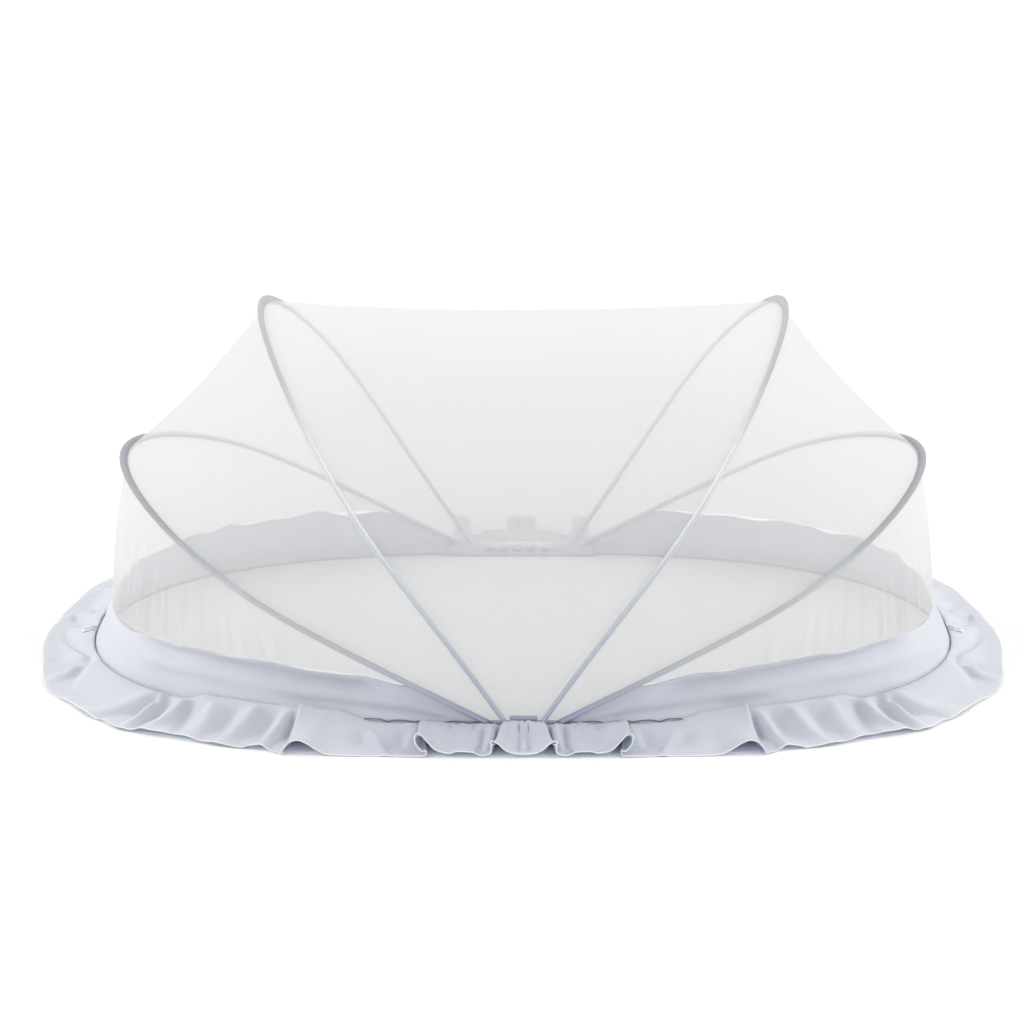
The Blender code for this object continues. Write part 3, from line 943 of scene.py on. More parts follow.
@dataclass
class NetPanels:
    """The five sheer panels: one over the middle, two beside it, and one down each end."""

    foot_deg: float = 0.2
    center_sag: float = 0.013
    side_sag: float = 0.008
    end_bulge: float = 0.005
    over_band: float = 0.0012
    clear_of_band: float = 0.0036
    step_deg: float = 0.1
    gather: float = 0.0042
    gather_from: float = 0.06
    gather_full: float = 0.10
    wrinkle: float = 0.0016
    center_cut: Cut = Cut(0.60, 1.42, 0.62, 48)
    side_cut: Cut = Cut(0.28, 1.40, 0.25, 24)
    end_cut: Cut = Cut(0.22, 1.20, 0.14, 30, 420)

    def crease(self, u: float, v: float, seed: float) -> float:
        """A faint wrinkle that is nothing at the sewn edges."""
        held = 16 * u * (1 - u) * v * (1 - v)
        return self.wrinkle * held * ripple(u * 9, v * 3, seed)

    def center(self, u: float, v: float) -> Vector:
        """The middle panel, which sags between the tall arches.

        Args:
            u: The share of the way along the arches.
            v: The share across.

        Returns:
            The place.
        """
        t = span(self.foot_deg, u)
        left, right = TALL.edge(Side.LEFT, t, False), TALL.edge(Side.RIGHT, t, False)
        inward = (TALL.inward(Side.LEFT, t) + TALL.inward(Side.RIGHT, t)).normalized()
        sag = self.center_sag * 4 * v * (1 - v) * math.sin(t) + self.crease(u, v, 1.7)
        return left.lerp(right, v) + inward * sag

    def beside(self, side: Side, u: float, v: float) -> Vector:
        """A side panel, from a tall arch to a low one.

        Args:
            side: The half of the net.
            u: The share of the way along the arches.
            v: The share across.

        Returns:
            The place.
        """
        t = span(self.foot_deg, u)
        inner, outer = TALL.edge(side, t, True), LOW.edge(side, t, False)
        inward = (TALL.inward(side, t) + LOW.inward(side, t)).normalized()
        sag = self.side_sag * 4 * v * (1 - v) * math.sin(t) + self.crease(u, v, 4.9)
        return inner.lerp(outer, v) + inward * sag

    def end_limit(self, from_back: bool) -> float:
        """The angle at which the low arch first stands clear above the band, from one of its feet.

        Args:
            from_back: Whether that is the back foot.

        Returns:
            The angle.
        """
        t, step = math.radians(BAND.foot_deg), math.radians(self.step_deg)
        if from_back:
            t, step = math.pi - t, -step
        while BAND.line(Side.RIGHT, t)[2].z > LOW.point(Side.RIGHT, t).z - self.clear_of_band:
            t += step
        return t

    def end(self, side: Side, limits: tuple[float, float], u: float, v: float) -> Vector:
        """An end panel, from the band's top up to the low arch, with little gathers above its foot.

        Args:
            side: The half of the net.
            limits: The angles along the low arch where it starts and stops.
            u: The share between them.
            v: The share of its height.

        Returns:
            The place.
        """
        t = limits[0] + (limits[1] - limits[0]) * u
        _, outward, top = BAND.line(side, t)
        edge = LOW.edge(side, t, True)
        foot = top - outward * BAND.thickness / 2 + Vector((0, 0, self.over_band))
        tall = (edge - foot).length / LOW.rise
        grown = min(1, tall * 3)
        bulge = self.end_bulge * 4 * v * (1 - v) * grown
        above = (v - self.gather_full) / (1 - self.gather_full)
        fade = smoothstep(v / self.gather_from) * (1 - smoothstep(above))
        pleat = ripple(u * 58, v * 0.8, 2.2) + 0.6 * ripple(u * 121, v * 0.8, 5.6)
        return foot.lerp(edge, v) + outward * (bulge + self.gather * pleat * fade * grown)

    def build(self, finishes: Finishes) -> None:
        """Makes the five panels."""
        net, limits = finishes.net, (self.end_limit(False), self.end_limit(True))
        self.panel("center_net", "net_center", self.center, self.center_cut, ["sleeve_tall_left"], net)
        for side in Side:
            rods = [f"sleeve_tall_{side.word}", f"sleeve_low_{side.word}"]
            panels = (
                ("side", partial(self.beside, side), self.side_cut, rods),
                ("end", partial(self.end, side, limits), self.end_cut, rods[1:]),
            )
            for word, place, cut, held_by in panels:
                node = f"net_{word}_{side.word}"
                self.panel(f"{word}_net_{side.word}", node, place, cut, held_by, net)

    def panel(
        self, name: str, node: str, place: Place, cut: Cut, rods: list[str], finish: bpy.types.Material
    ) -> None:
        """Makes one panel, whose mesh pattern keeps its size where the panel narrows.

        Args:
            name: The piece's name.
            node: The node that it stands for.
            place: Where its cloth hangs.
            cut: How it is cut.
            rods: The sleeves that hold it; not used.
            finish: The net.
        """
        columns = cut.columns
        widths = [(place(i / columns, 1) - place(i / columns, 0)).length for i in range(columns + 1)]

        def stretch(u: float, v: float) -> tuple[float, float]:
            """A corner's distances along and across the cloth."""
            return u * cut.length, (v - 0.5) * widths[round(u * columns)]

        piece = wrapped(name, columns, cut.rows, place, stretch, finish)
        report(piece, Slot.NET, node)
        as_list(rods)


@dataclass
class Sleeves:
    """The four binding sleeves over the sprung wires: a round core with a fin sewn flat on its inner side."""

    depth: float = 0.0134
    width: float = 0.0066
    steps: int = 240
    round_points: int = 20
    pinch: float = 0.45
    pucker: float = 0.00035
    puckers: float = 150
    tape: tuple[float, float] = (1.42, 0.03)

    def build(self, arch: Arch, side: Side, finishes: Finishes) -> None:
        """Makes the sleeve over one arch.

        Args:
            arch: The arch.
            side: The half of the net.
            finishes: The finishes.
        """
        beside = arch.beside(side)

        def place(u: float, v: float) -> Vector:
            """A place round the sleeve, which is pinched flat on its inner side."""
            t, angle = math.pi * u, 2 * math.pi * v
            in_out = math.cos(angle)
            pinch = 1 - self.pinch * smoothstep(in_out)
            pucker = self.pucker * ripple(u * self.puckers, v * 2, 6.3 + arch.rise)
            wide = (self.width / 2 * pinch + pucker) * math.sin(angle)
            return arch.point(side, t) + arch.inward(side, t) * (self.depth / 2 * in_out) + beside * wide

        name = f"binding_{arch.word}_{side.word}"
        finish = finishes.tall_tape if arch is TALL else finishes.low_tape
        rows = self.round_points
        piece = wrapped(name, self.steps, rows, place, self.tape, finish, closed=True, capped=True)
        report(piece, Slot.BINDING, f"sleeve_{arch.word}_{side.word}")


@dataclass(frozen=True)
class Fold:
    """A lifted fold of the ruffle's edge, placed by its distance along the seam from the hub's middle."""

    at: float
    height: float
    flat: float
    rise: float
    fall: float

    def lift(self, distance: float) -> float:
        """Its height at a distance from the hub.

        Args:
            distance: The distance along the seam.

        Returns:
            The height.
        """
        off = distance - self.at
        slope = self.fall if off > 0 else self.rise
        return self.height * (1 - smoothstep((abs(off) - self.flat) / slope))


@dataclass(frozen=True)
class HemMark:
    """A place on the ruffle's hem, and where its cloth leaves the seam.

    root and over are distances along the seam from the front's middle: where the cloth is sewn in, and
    straight out from where its hem lies. root_z lifts it at the seam, where one fold lies over another.
    """

    root: float
    over: float
    z: float
    drawn_in: float = 0.0
    root_z: float = 0.0


@dataclass(frozen=True)
class Crease:
    """A soft ridge or valley of the ruffle, from a place on the seam to one on the hem."""

    root: float
    hem: float
    lift: float
    hub_side: float
    far_side: float
    start: float = 0.0
    stop: float = 1.0

    def rise(self, distance: float, v: float) -> float:
        """How much it lifts the cloth at a distance from the hub and a share of the ruffle's width.

        Args:
            distance: The distance along the seam.
            v: The share of the width.

        Returns:
            The lift, which is negative in a valley.
        """
        off = distance - (self.root + (self.hem - self.root) * v)
        width = self.far_side if off > 0 else self.hub_side
        window = smoothstep((v - self.start) / 0.2 + 0.001) * (1 - smoothstep((v - self.stop) / 0.15))
        return self.lift * math.exp(-((off / width) ** 2)) * window


def hem_marks(*rows: tuple[float, ...]) -> tuple[HemMark, ...]:
    """Makes marks from their sizes in millimetres: root, over, z, and if need be drawn_in and root_z."""
    return tuple(HemMark(*(size / MM_PER_METRE for size in row)) for row in rows)


def creases(*rows: tuple[float, ...]) -> tuple[Crease, ...]:
    """Makes creases from their five sizes in millimetres, and the shares where they start and stop."""
    return tuple(Crease(*(size / MM_PER_METRE for size in row[:5]), *row[5:]) for row in rows)


# The hem on either side of the front's middle. First the fan, whose side turns under.
FAN = hem_marks(
    (0, 0, 3.5, 0, 4),
    (6, 9.7, 4.2, 0, 4.5),
    (14.5, 22.2, 8.6, 0, 4.2),
    (21.5, 32.1, 17, 1, 4),
    (25, 38.5, 20, 2, 3.6),
    (26.2, 40.3, 20.2, 2, 3),
    (26.8, 41.8, 18.4, 1, 1.8),
    (25.8, 40.2, 16.8, 0, 0.6),
)
# The lobe beside it, which ends in a curl, and the corner that is tucked under the curl.
LOBE = hem_marks(
    (26.2, 38.8, 16, 0, -0.6),
    (29, 41, 15, 0, -1.4),
    (31, 41.4, 13, 0, -1.8),
    (33, 40.2, 9.8, 0, -1),
    (35, 40.8, 6.2),
    (38.5, 45.7, 2.8, 0, 0.5),
    (43, 52.3, 1.8, 0, 0.5),
    (50, 58.8, 4.2, 0, 0.5),
    (56, 64.3, 6.6, 0, 0.5),
    (70, 81.8, 7.3, 0, 0.8),
    (83, 91.6, 4.9, 0, 1),
    (95, 102.5, 6.6, 0, 1.5),
    (106, 110.1, 10.2, 0, 2.2),
    (115, 115.6, 16, 0, 3),
    (123, 122.1, 23.6, 0, 3.4),
    (128, 127.5, 28.4, 1, 3.4),
    (131, 130.8, 29.4, 1, 3),
    (132.5, 133.5, 27.8, 1, 2.4),
    (133.1, 134.6, 23.4, 0, 1.6),
    (132.6, 133.5, 17.8, 0, 0.8),
    (131.4, 129.7, 11.2, 0, 0.2),
    (130, 124.3, 7, 0, -0.4),
    (129.2, 120.7, 7.4, 0, -0.8),
    (128.8, 119.5, 8, 0, -1),
    (128.8, 120, 5.2, 0, -1.2),
    (129.2, 121.8, 1.2, -1, -1.2),
)
# The flat stretch, the raised mouth with its sharp outer edge, and the panel that comes out from under it.
MOUTH = hem_marks(
    (131, 127, 0.8, -1, -0.8),
    (135, 133, 0.6, -1, -0.4),
    (145, 144, 0.5, -1),
    (160, 159, 0.4, -1),
    (200, 199, 0.3, -2.3),
    (230, 229, 0.3, -4),
    (240, 240, 1, -4.2),
    (252, 252.3, 7, -4.5, 0.4),
    (264, 265.2, 15, -4.5, 1),
    (273, 274.6, 18, -4.5, 2),
    (282, 285.1, 15, -6, 4.5),
    (288, 292, 6, -9.5, 6.2),
    (290.5, 294.3, 1.6, -10.8, 6.2),
    (290.8, 293.6, 0.6, -9.6, 3.6),
    (289, 290, 0.3, -7),
    (290.5, 293, 0.3, -7.2, -0.4),
    (296, 302, 1.2, -5),
    (306, 313, 3.4, -1),
    (318, 321, 5.2),
)
# The rest of the front and the curve of the end.
END = hem_marks(
    (336, 336, 4.6, -1),
    (344, 344, 2.2, -2),
    (367, 367, 3, -2.3),
    (396, 396, 4.2),
    (423, 423, 6.2, 1.7),
    (440, 440, 7.2, -0.4),
    (464, 464, 6.2, -2.3),
    (493, 493, 2.2, -7),
    (522, 522, 3, -1),
    (530, 530, 3, -1.5),
    (579, 579, 2.2, 4.4),
    (625, 625, 1, -3.6),
    (640, 640, 1, -2),
    (686, 686, 1.4, 1.3),
    (748, 748, 1.2, -6),
    (779, 779, 1, -6.2),
    (809, 809, 2.4, 0.4),
    (820, 820, 4, 1.6),
    (829, 829, 1.2, -1),
    (861, 861, 1, 0.5),
    (892, 892, 1.4, -4),
    (928, 928, 1, -8),
    (980, 980, 1),
)

# The lifted folds on both sides of the back's middle.
BACK_FOLDS = (
    Fold(at=0.010, height=0.0440, flat=0.010, rise=0.014, fall=0.007),
    Fold(at=0.000, height=0.0100, flat=0.074, rise=0.010, fall=0.010),
    Fold(at=0.043, height=0.0190, flat=0.014, rise=0.020, fall=0.014),
    Fold(at=0.091, height=0.0450, flat=0.009, rise=0.009, fall=0.007),
    Fold(at=0.140, height=0.0100, flat=0.004, rise=0.022, fall=0.018),
    Fold(at=0.230, height=0.0080, flat=0.004, rise=0.030, fall=0.024),
    Fold(at=0.330, height=0.0120, flat=0.003, rise=0.034, fall=0.020),
    Fold(at=0.480, height=0.0070, flat=0.020, rise=0.060, fall=0.050),
)

# Ridges and hollows of the cloth: root, hem, lift, hub_side, far_side, start, stop.
CREASES = creases(
    (0, 0, 4.5, 2.2, 2.2, 0.45, 0.75),
    (5.5, 5.5, -6.5, 1.4, 1.4, 0, 0.15),
    (4.5, 4, -4.5, 3, 3, 0.15, 0.75),
    (32, 31, -9, 3.5, 3.5, 0, 0.45),
    (41, 41, 6, 3.5, 3.5, 0, 0.75),
    (49, 48, -6, 4, 7, 0, 0.85),
    (63, 60, -4, 2.2, 2.2, 0, 0.1),
    (92.7, 90, -4.5, 2.2, 2.2, 0, 0.1),
    (110, 95, 3, 10, 10, 0.05, 0.7),
    (150, 160, -5.9, 6, 12, 0.15),
    (205, 170, 7.6, 10, 9, 0.25),
    (218, 185, -5.9, 8, 12, 0.25),
    (295, 300, -12, 4, 8),
    (299, 318, 10.2, 7, 10),
    (320, 344, -8.5, 9, 12),
    (345, 374, 9.3, 9, 11),
    (374, 393, -8.5, 10, 12),
    (406, 412, 5.9, 11, 9),
    (443, 430, -7.6, 9, 7),
    (440.2, 466.3, 11, 7, 9),
    (470, 480, -8.5, 7, 6),
    (482.9, 491, 11, 6, 6),
    (473.9, 530.6, -11.9, 8, 6),
    (490, 548, 7.6, 8, 16),
    (662.9, 603.2, -8.5, 9, 11),
    (648.4, 684.1, -9.3, 10, 10),
    (656, 643, 5.9, 8, 8),
    (649, 822, -8.5, 12, 10, 0, 0.6),
    (757, 831, -9.3, 8, 10, 0, 0.65),
    (808, 820, 8.5, 6, 6, 0.2),
    (840, 846, -6.8, 9, 9),
    (905, 898, 6.8, 11, 9),
    (960, 970, -5.9, 12, 12),
)


@dataclass(frozen=True)
class Column:
    """One line of the ruffle's cloth from the seam out to the hem."""

    root: Vector
    hem: Vector
    z: float
    root_z: float
    distance: float
    cloth: float


@dataclass
class Ruffle:
    """The gathered strip that runs out from the seam to its narrow sewn hem on the floor."""

    thickness: float = 0.0010
    gap: float = 0.0008
    slack: float = 0.0034
    hem_half_length: float = 0.669
    hem_half_depth: float = 0.374
    hem_power: float = 2.72
    inner_z: float = 0.0198
    flat_from: float = 0.75
    root_power: float = 1.3
    clear: float = 0.0008
    halvings: int = 22
    columns: int = 2100
    rows: int = 20
    hub_density: float = 1.8
    hub_reach: float = 0.19
    gather: float = 0.0008
    calm: float = 0.7
    crowded: float = 1.3
    scallop: float = 0.0020
    calm_hem: float = 0.85
    flush_z: float = 0.011
    flush_in: float = 0.0040
    flush_over: float = 0.10
    flush_in_from: tuple[float, float] = (0.19, 0.24)
    flush_out_from: tuple[float, float] = (0.42, 0.46)
    hub_fade: float = 0.2
    tuck_fade: float = 0.28
    wave_height: float = 0.0030
    wave_length: float = 0.17
    wave_from: float = 0.60
    hem_wide: float = 0.00143
    hem_high: float = 0.00088
    hem_cloth: tuple[float, float] = (3.4, 0.007)
    flat: tuple[float, float] = (0.058, 3.75)
    under_reach: float = 0.55
    under_width: float = 0.034
    under_thickness: float = 0.0006
    under_z: float = 0.0005
    under_edge: tuple[tuple[float, float], ...] = (
        (0.00, 0.0010),
        (0.13, 0.0010),
        (0.20, -0.0006),
        (0.23, -0.0028),
        (0.28, -0.0036),
        (0.294, -0.0020),
        (0.32, 0.0020),
        (0.40, 0.0020),
        (0.44, 0.0010),
        (0.50, -0.0030),
        (0.55, 0.0040),
    )
    marks: tuple[HemMark, ...] = FAN + LOBE + MOUTH + END
    courses: dict[str, Course] = field(default_factory=dict)

    def __post_init__(self) -> None:
        """Lays the hem's marks out along the cloth, and sets out the columns."""
        cloth = [0.0]
        for last, mark in zip(self.marks, self.marks[1:]):
            step = max(abs(mark.root - last.root), math.hypot(mark.over - last.over, mark.z - last.z))
            cloth.append(cloth[-1] + step)
        for size in ("root", "over", "z", "drawn_in", "root_z"):
            self.courses[size] = Course.through(cloth, [getattr(mark, size) for mark in self.marks])
        self.marked = cloth[-1]
        self.half = self.marked + SEAM.length / 2 - self.marks[-1].root
        stations = self.set_out()
        ways = [(value, 1) for value in stations] + [(value, -1) for value in stations[-2::-1]]
        self.ring = [self.column(float(value), way) for value, way in ways]

    def set_out(self) -> np.ndarray:
        """Places along half of the cloth for the columns, closer together near the hubs.

        Returns:
            Their lengths of cloth from the front's middle.
        """
        cloth = np.linspace(0, self.half, SEAM.samples)
        front, back = cloth / self.hub_reach, (self.half - cloth) / self.hub_reach
        density = 1 + self.hub_density * (np.exp(-(front**4)) + np.exp(-(back**4)))
        count = np.concatenate(([0.0], np.cumsum((density[1:] + density[:-1]) / 2)))
        return np.interp(np.linspace(0, count[-1], self.columns // 2 + 1), count, cloth)

    def width(self, foot: Vector, outward: Vector) -> float:
        """How far it is straight out from the ruffle's inner edge to the hem's line.

        Args:
            foot: A point of the seam.
            outward: The outward way there.

        Returns:
            The distance.
        """
        low, high = 0.0, 2 * (self.hem_half_length - SEAM.half_length)
        for _ in range(self.halvings):
            middle = (low + high) / 2
            point = foot + outward * (self.gap + middle)
            x, y = abs(point.x / self.hem_half_length), abs(point.y / self.hem_half_depth)
            inside = x**self.hem_power + y**self.hem_power < 1
            low, high = (middle, high) if inside else (low, middle)
        return low

    def back_height(self, distance: float) -> float:
        """The hem's height at a distance from the back hub.

        Args:
            distance: The distance along the seam.

        Returns:
            The height.
        """
        height = max(fold.lift(distance) for fold in BACK_FOLDS)
        wave = math.sin(2 * math.pi * (distance - self.wave_from) / self.wave_length)
        grown = smoothstep((distance - self.wave_from) / self.wave_length)
        return height + max(0, self.wave_height * wave * grown)

    def column(self, cloth: float, way: int) -> Column:
        """The column at a length of cloth from the front's middle, on one side of it.

        Args:
            cloth: The length of cloth.
            way: 1 or -1, the side.

        Returns:
            The column.
        """
        if cloth < self.marked:
            root, over, z, drawn_in, root_z = (course.at(cloth) for course in self.courses.values())
        else:
            root = over = cloth - self.half + SEAM.length / 2
            z, drawn_in, root_z = self.back_height(SEAM.length / 2 - root), 0.0, 0.0
        foot = SEAM.at(way * over)
        outward = SEAM.outward(foot.x, foot.y)
        run = math.sqrt(self.width(foot, outward) ** 2 - z**2 / 2) - drawn_in
        sewn = SEAM.at(way * root)
        loose = self.slack * self.near_hub(root) * max(0, ripple(way * cloth * 70, 0, 4.4))
        sewn += SEAM.outward(sewn.x, sewn.y) * (self.gap + loose - self.flush_in * self.flush(root))
        return Column(sewn, foot + outward * (self.gap + run), z, root_z, root, way * cloth)

    def flush(self, distance: float) -> float:
        """How far the seam is hidden in a smooth run of cloth, at a distance from the front's middle."""
        (start, full), (end, gone) = self.flush_in_from, self.flush_out_from
        hidden = smoothstep((distance - start) / (full - start))
        return hidden * (1 - smoothstep((distance - end) / (gone - end)))

    def near_hub(self, distance: float) -> float:
        """How close a distance from the front's middle is to a hub, from 0 to 1."""
        off = min(abs(distance), abs(SEAM.length / 2 - distance))
        return math.exp(-((off / self.hub_fade) ** 2))

    def place(self, i: int, v: float) -> Vector:
        """Where the cloth of a column lies, with v from 0 at the seam to 1 at the hem.

        Args:
            i: The number of the column.
            v: The share of its width.

        Returns:
            The place.
        """
        column = self.ring[i]
        point = column.root.lerp(column.hem, v)
        sewn = (self.inner_z + column.root_z) * (1 - smoothstep(v / self.flat_from))
        creases = sum(crease.rise(column.distance, v) for crease in CREASES)
        pitch = ripple(column.cloth * 75, v * 0.6, 1.3) + 0.7 * ripple(column.cloth * 170, v * 0.6, 9.1)
        deep = self.gather * (self.calm + self.crowded * self.near_hub(column.distance))
        tucks = deep * pitch * math.exp(-v / self.tuck_fade)
        merged = self.flush_z * self.flush(column.distance) * math.exp(-v / self.flush_over)
        bumps = self.scallop * self.near_hub(column.distance) * ripple(column.cloth * 30, 0, 2.6)
        lift = creases * (1 - self.calm_hem * v**3) + tucks + merged + bumps * math.exp(-v / self.flush_over)
        point.z = max(self.clear + sewn + column.z * v**self.root_power + lift, self.clear)
        return point

    def strip(self, finishes: Finishes) -> bpy.types.Object:
        """Makes the ruffle's cloth."""

        def place(u: float, v: float) -> Vector:
            """Where a column's cloth lies."""
            return self.place(round(u * self.columns), v)

        def stretch(u: float, v: float) -> tuple[float, float]:
            """A corner's distances along and across the cloth."""
            return abs(self.ring[round(u * self.columns)].cloth), v * self.flat[0]

        # The underside faces take the first, paler and bluer material, which is painted light; the other face
        # takes the ruffle cloth.
        piece = wrapped("ruffle_cloth", self.columns, self.rows, place, stretch, finishes.lining, closed=True)
        piece.data.materials.append(finishes.ruffle)
        thicken(piece, self.thickness)
        piece.modifiers["Thickness"].material_offset = 1
        return piece

    def hem_roll(self, finishes: Finishes) -> bpy.types.Object:
        """Makes the narrow rolled hem round the ruffle's edge, whose light colour paints a highlight along it.
        """
        edge = [self.place(i, 1.0) for i in range(self.columns)]
        inner = [self.place(i, 0.95) for i in range(self.columns)]

        def place(u: float, v: float) -> Vector:
            """A place round the hem, which is wider than it is high."""
            i = round(u * self.columns) % self.columns
            along = (edge[(i + 1) % self.columns] - edge[i - 1]).normalized()
            out = (edge[i] - inner[i]).normalized()
            angle = 2 * math.pi * v
            wide, high = self.hem_wide * math.cos(angle), self.hem_high * math.sin(angle)
            return edge[i] + out * wide + along.cross(out).normalized() * high

        return wrapped("ruffle_hem", self.columns, 8, place, self.hem_cloth, finishes.hem, closed=True)

    def under_layer(self, finishes: Finishes) -> None:
        """Makes the second layer, which lies flat on the floor and shows where the front hem is raised."""
        edge = Course.through(*zip(*self.under_edge))

        def place(u: float, v: float) -> Vector:
            """A place on the flat layer."""
            s = (2 * u - 1) * self.under_reach
            foot = SEAM.at(s)
            outward = SEAM.outward(foot.x, foot.y)
            out = self.width(foot, outward) - edge.at(abs(s)) - self.under_width * (1 - v)
            return foot + outward * (self.gap + out) + Vector((0, 0, self.under_z))

        flat = (2 * self.under_reach, self.under_width)
        # Its pale blue is painted light: it stands for the lavender light in the shade under the raised hem.
        piece = wrapped("ruffle_under_layer", 300, 4, place, flat, finishes.lining)
        thicken(piece, self.under_thickness)
        report(piece, Slot.RUFFLE)

    def build(self, finishes: Finishes) -> None:
        """Makes the ruffle, its hem and its under layer."""
        strip, roll = self.strip(finishes), self.hem_roll(finishes)
        report(strip, Slot.RUFFLE, "ruffle")
        report(roll, Slot.RUFFLE)
        self.under_layer(finishes)


@dataclass
class HubPocket:
    """A stitched pocket in which the feet of the arches meet."""

    word: str
    y: float
    half: float
    depth: float = 0.009
    top_z: float = 0.0215
    web_half: float = 0.0
    web_z: float = 0.0
    web_lap: float = 0.002
    rounding: float = 0.0016
    pucker: float = 0.0005
    segments: int = 56

    def build(self, finishes: Finishes) -> None:
        """Makes the pocket: a soft padded strip, and the web between the tall arches if it has one."""
        shape = bmesh.new()
        self.block(shape, self.half, 0.0, self.top_z)
        if self.web_half:
            self.block(shape, self.web_half, self.top_z - self.web_lap, self.web_z)
        layer = shape.loops.layers.uv.new(CLOTH_UV)
        for face in shape.faces:
            for corner in face.loops:
                corner[layer].uv = (corner.vert.co.x, corner.vert.co.z + corner.vert.co.y)
        # A pocket with a web takes the darker pocket finish, which is painted shade; the other takes the band
        # cloth.
        finish = finishes.pocket if self.web_half else finishes.band
        report(finished(shape, f"pocket_{self.word}", finish), Slot.BAND, f"hub_pocket_{self.word}")

    def block(self, shape: bmesh.types.BMesh, half: float, low: float, high: float) -> None:
        """Adds a soft cushion-like strip between two heights, puckered by its stitches.

        Args:
            shape: The bmesh.
            half: Half of its length.
            low: Its foot.
            high: Its top.
        """
        turn = Matrix.Translation((0, self.y, (low + high) / 2))
        size = Matrix.Diagonal((2 * half, self.depth, high - low, 1))
        made = bmesh.ops.create_cube(shape, size=1, matrix=turn @ size)
        edges = [e for e in shape.edges if e.verts[0] in made["verts"]]
        bmesh.ops.bevel(
            shape,
            geom=edges,
            offset=self.rounding,
            segments=3,
            profile=0.5,
            affect="EDGES",
            material=-1,
            clamp_overlap=True,
        )
        long_edges = [e for e in shape.edges if abs(e.verts[0].co.x - e.verts[1].co.x) > half]
        bmesh.ops.subdivide_edges(shape, edges=long_edges, cuts=self.segments, use_grid_fill=True)
        for vertex in shape.verts:
            if low - WELD < vertex.co.z < high + WELD and abs(vertex.co.x) < half - self.rounding - WELD:
                vertex.co.y += self.pucker * ripple(vertex.co.x * 130, vertex.co.z * 60, 2.0)


@dataclass
class TapeLoop:
    """A small loop of round cord that is sewn in at the seam and lies over the ruffle."""

    y: float = -0.017
    length: float = 0.018
    radius: float = 0.0017
    half_gap: float = 0.0046
    inner: float = 0.003
    clearance: float = 0.0036
    gap: float = 0.0012
    ruffle_width: float = 0.069
    ruffle_fall: float = 0.016
    ruffle_thickness: float = 0.0015
    flat_from: float = 0.75
    turns: int = 24

    def path(self, side: Side) -> list[Vector]:
        """The loop's centre line, out along one leg and back along the other.

        Args:
            side: The half of the net.

        Returns:
            Its points.
        """
        start = SEAM.half_length + self.inner
        flat = [(start, self.half_gap)]
        for i in range(self.turns + 1):
            angle = math.pi / 2 - math.pi * i / self.turns
            reach = start + self.length - self.half_gap
            flat.append((reach + self.half_gap * math.cos(angle), self.half_gap * math.sin(angle)))
        flat.append((start, -self.half_gap))
        points = []
        for x, y in flat:
            share = (x - SEAM.half_length - self.gap) / (self.ruffle_width - self.gap)
            lie = self.ruffle_fall * (1 - smoothstep(share / self.flat_from)) + self.ruffle_thickness
            points.append(Vector((side.value * x, self.y + y, lie + self.radius + self.clearance)))
        return points

    def build(self, side: Side, finishes: Finishes) -> None:
        """Makes one loop.

        Args:
            side: The half of the net.
            finishes: The finishes.
        """
        points = self.path(side)
        last = len(points) - 1

        def place(u: float, v: float) -> Vector:
            """A place round the cord."""
            i = round(u * last)
            along = (points[min(i + 1, last)] - points[max(i - 1, 0)]).normalized()
            beside = along.cross(Vector((0, 0, 1))).normalized()
            up = beside.cross(along)
            angle = 2 * math.pi * v
            return points[i] + (beside * math.cos(angle) + up * math.sin(angle)) * self.radius

        name = f"cord_loop_{side.word}"
        piece = wrapped(name, last, 12, place, (0.045, 0.0094), finishes.cord, closed=True, capped=True)
        report(piece, Slot.BINDING, f"loop_{side.word}")


@dataclass(frozen=True)
class Stitching:
    """A row of small running stitches: each one's length, their spacing and the thread's radius."""

    length: float
    pitch: float
    radius: float

    def row(self, name: str, path: Sequence[Vector], finish: bpy.types.Material, slot: Slot) -> None:
        """Makes a row of stitches along a path, as one piece.

        Args:
            name: The piece's name.
            path: Points on the cloth's face.
            finish: The thread.
            slot: The slot that it belongs to.
        """
        line = np.array([tuple(p) for p in path])
        steps = np.concatenate(([0.0], np.cumsum(np.linalg.norm(np.diff(line, axis=0), axis=1))))
        shape = bmesh.new()
        for k in range(int(steps[-1] / self.pitch)):
            ends = [
                Vector([float(np.interp(k * self.pitch + off, steps, line[:, axis])) for axis in range(3)])
                for off in (0.0, self.length)
            ]
            along = ends[1] - ends[0]
            turn = along.to_track_quat("Z", "Y").to_matrix().to_4x4()
            size = Matrix.Diagonal((self.radius, self.radius, along.length / 2, 1))
            spot = Matrix.Translation((ends[0] + ends[1]) / 2)
            bmesh.ops.create_icosphere(shape, subdivisions=1, radius=1, matrix=spot @ turn @ size)
        shape.loops.layers.uv.new(CLOTH_UV)
        report(finished(shape, name, finish), slot)


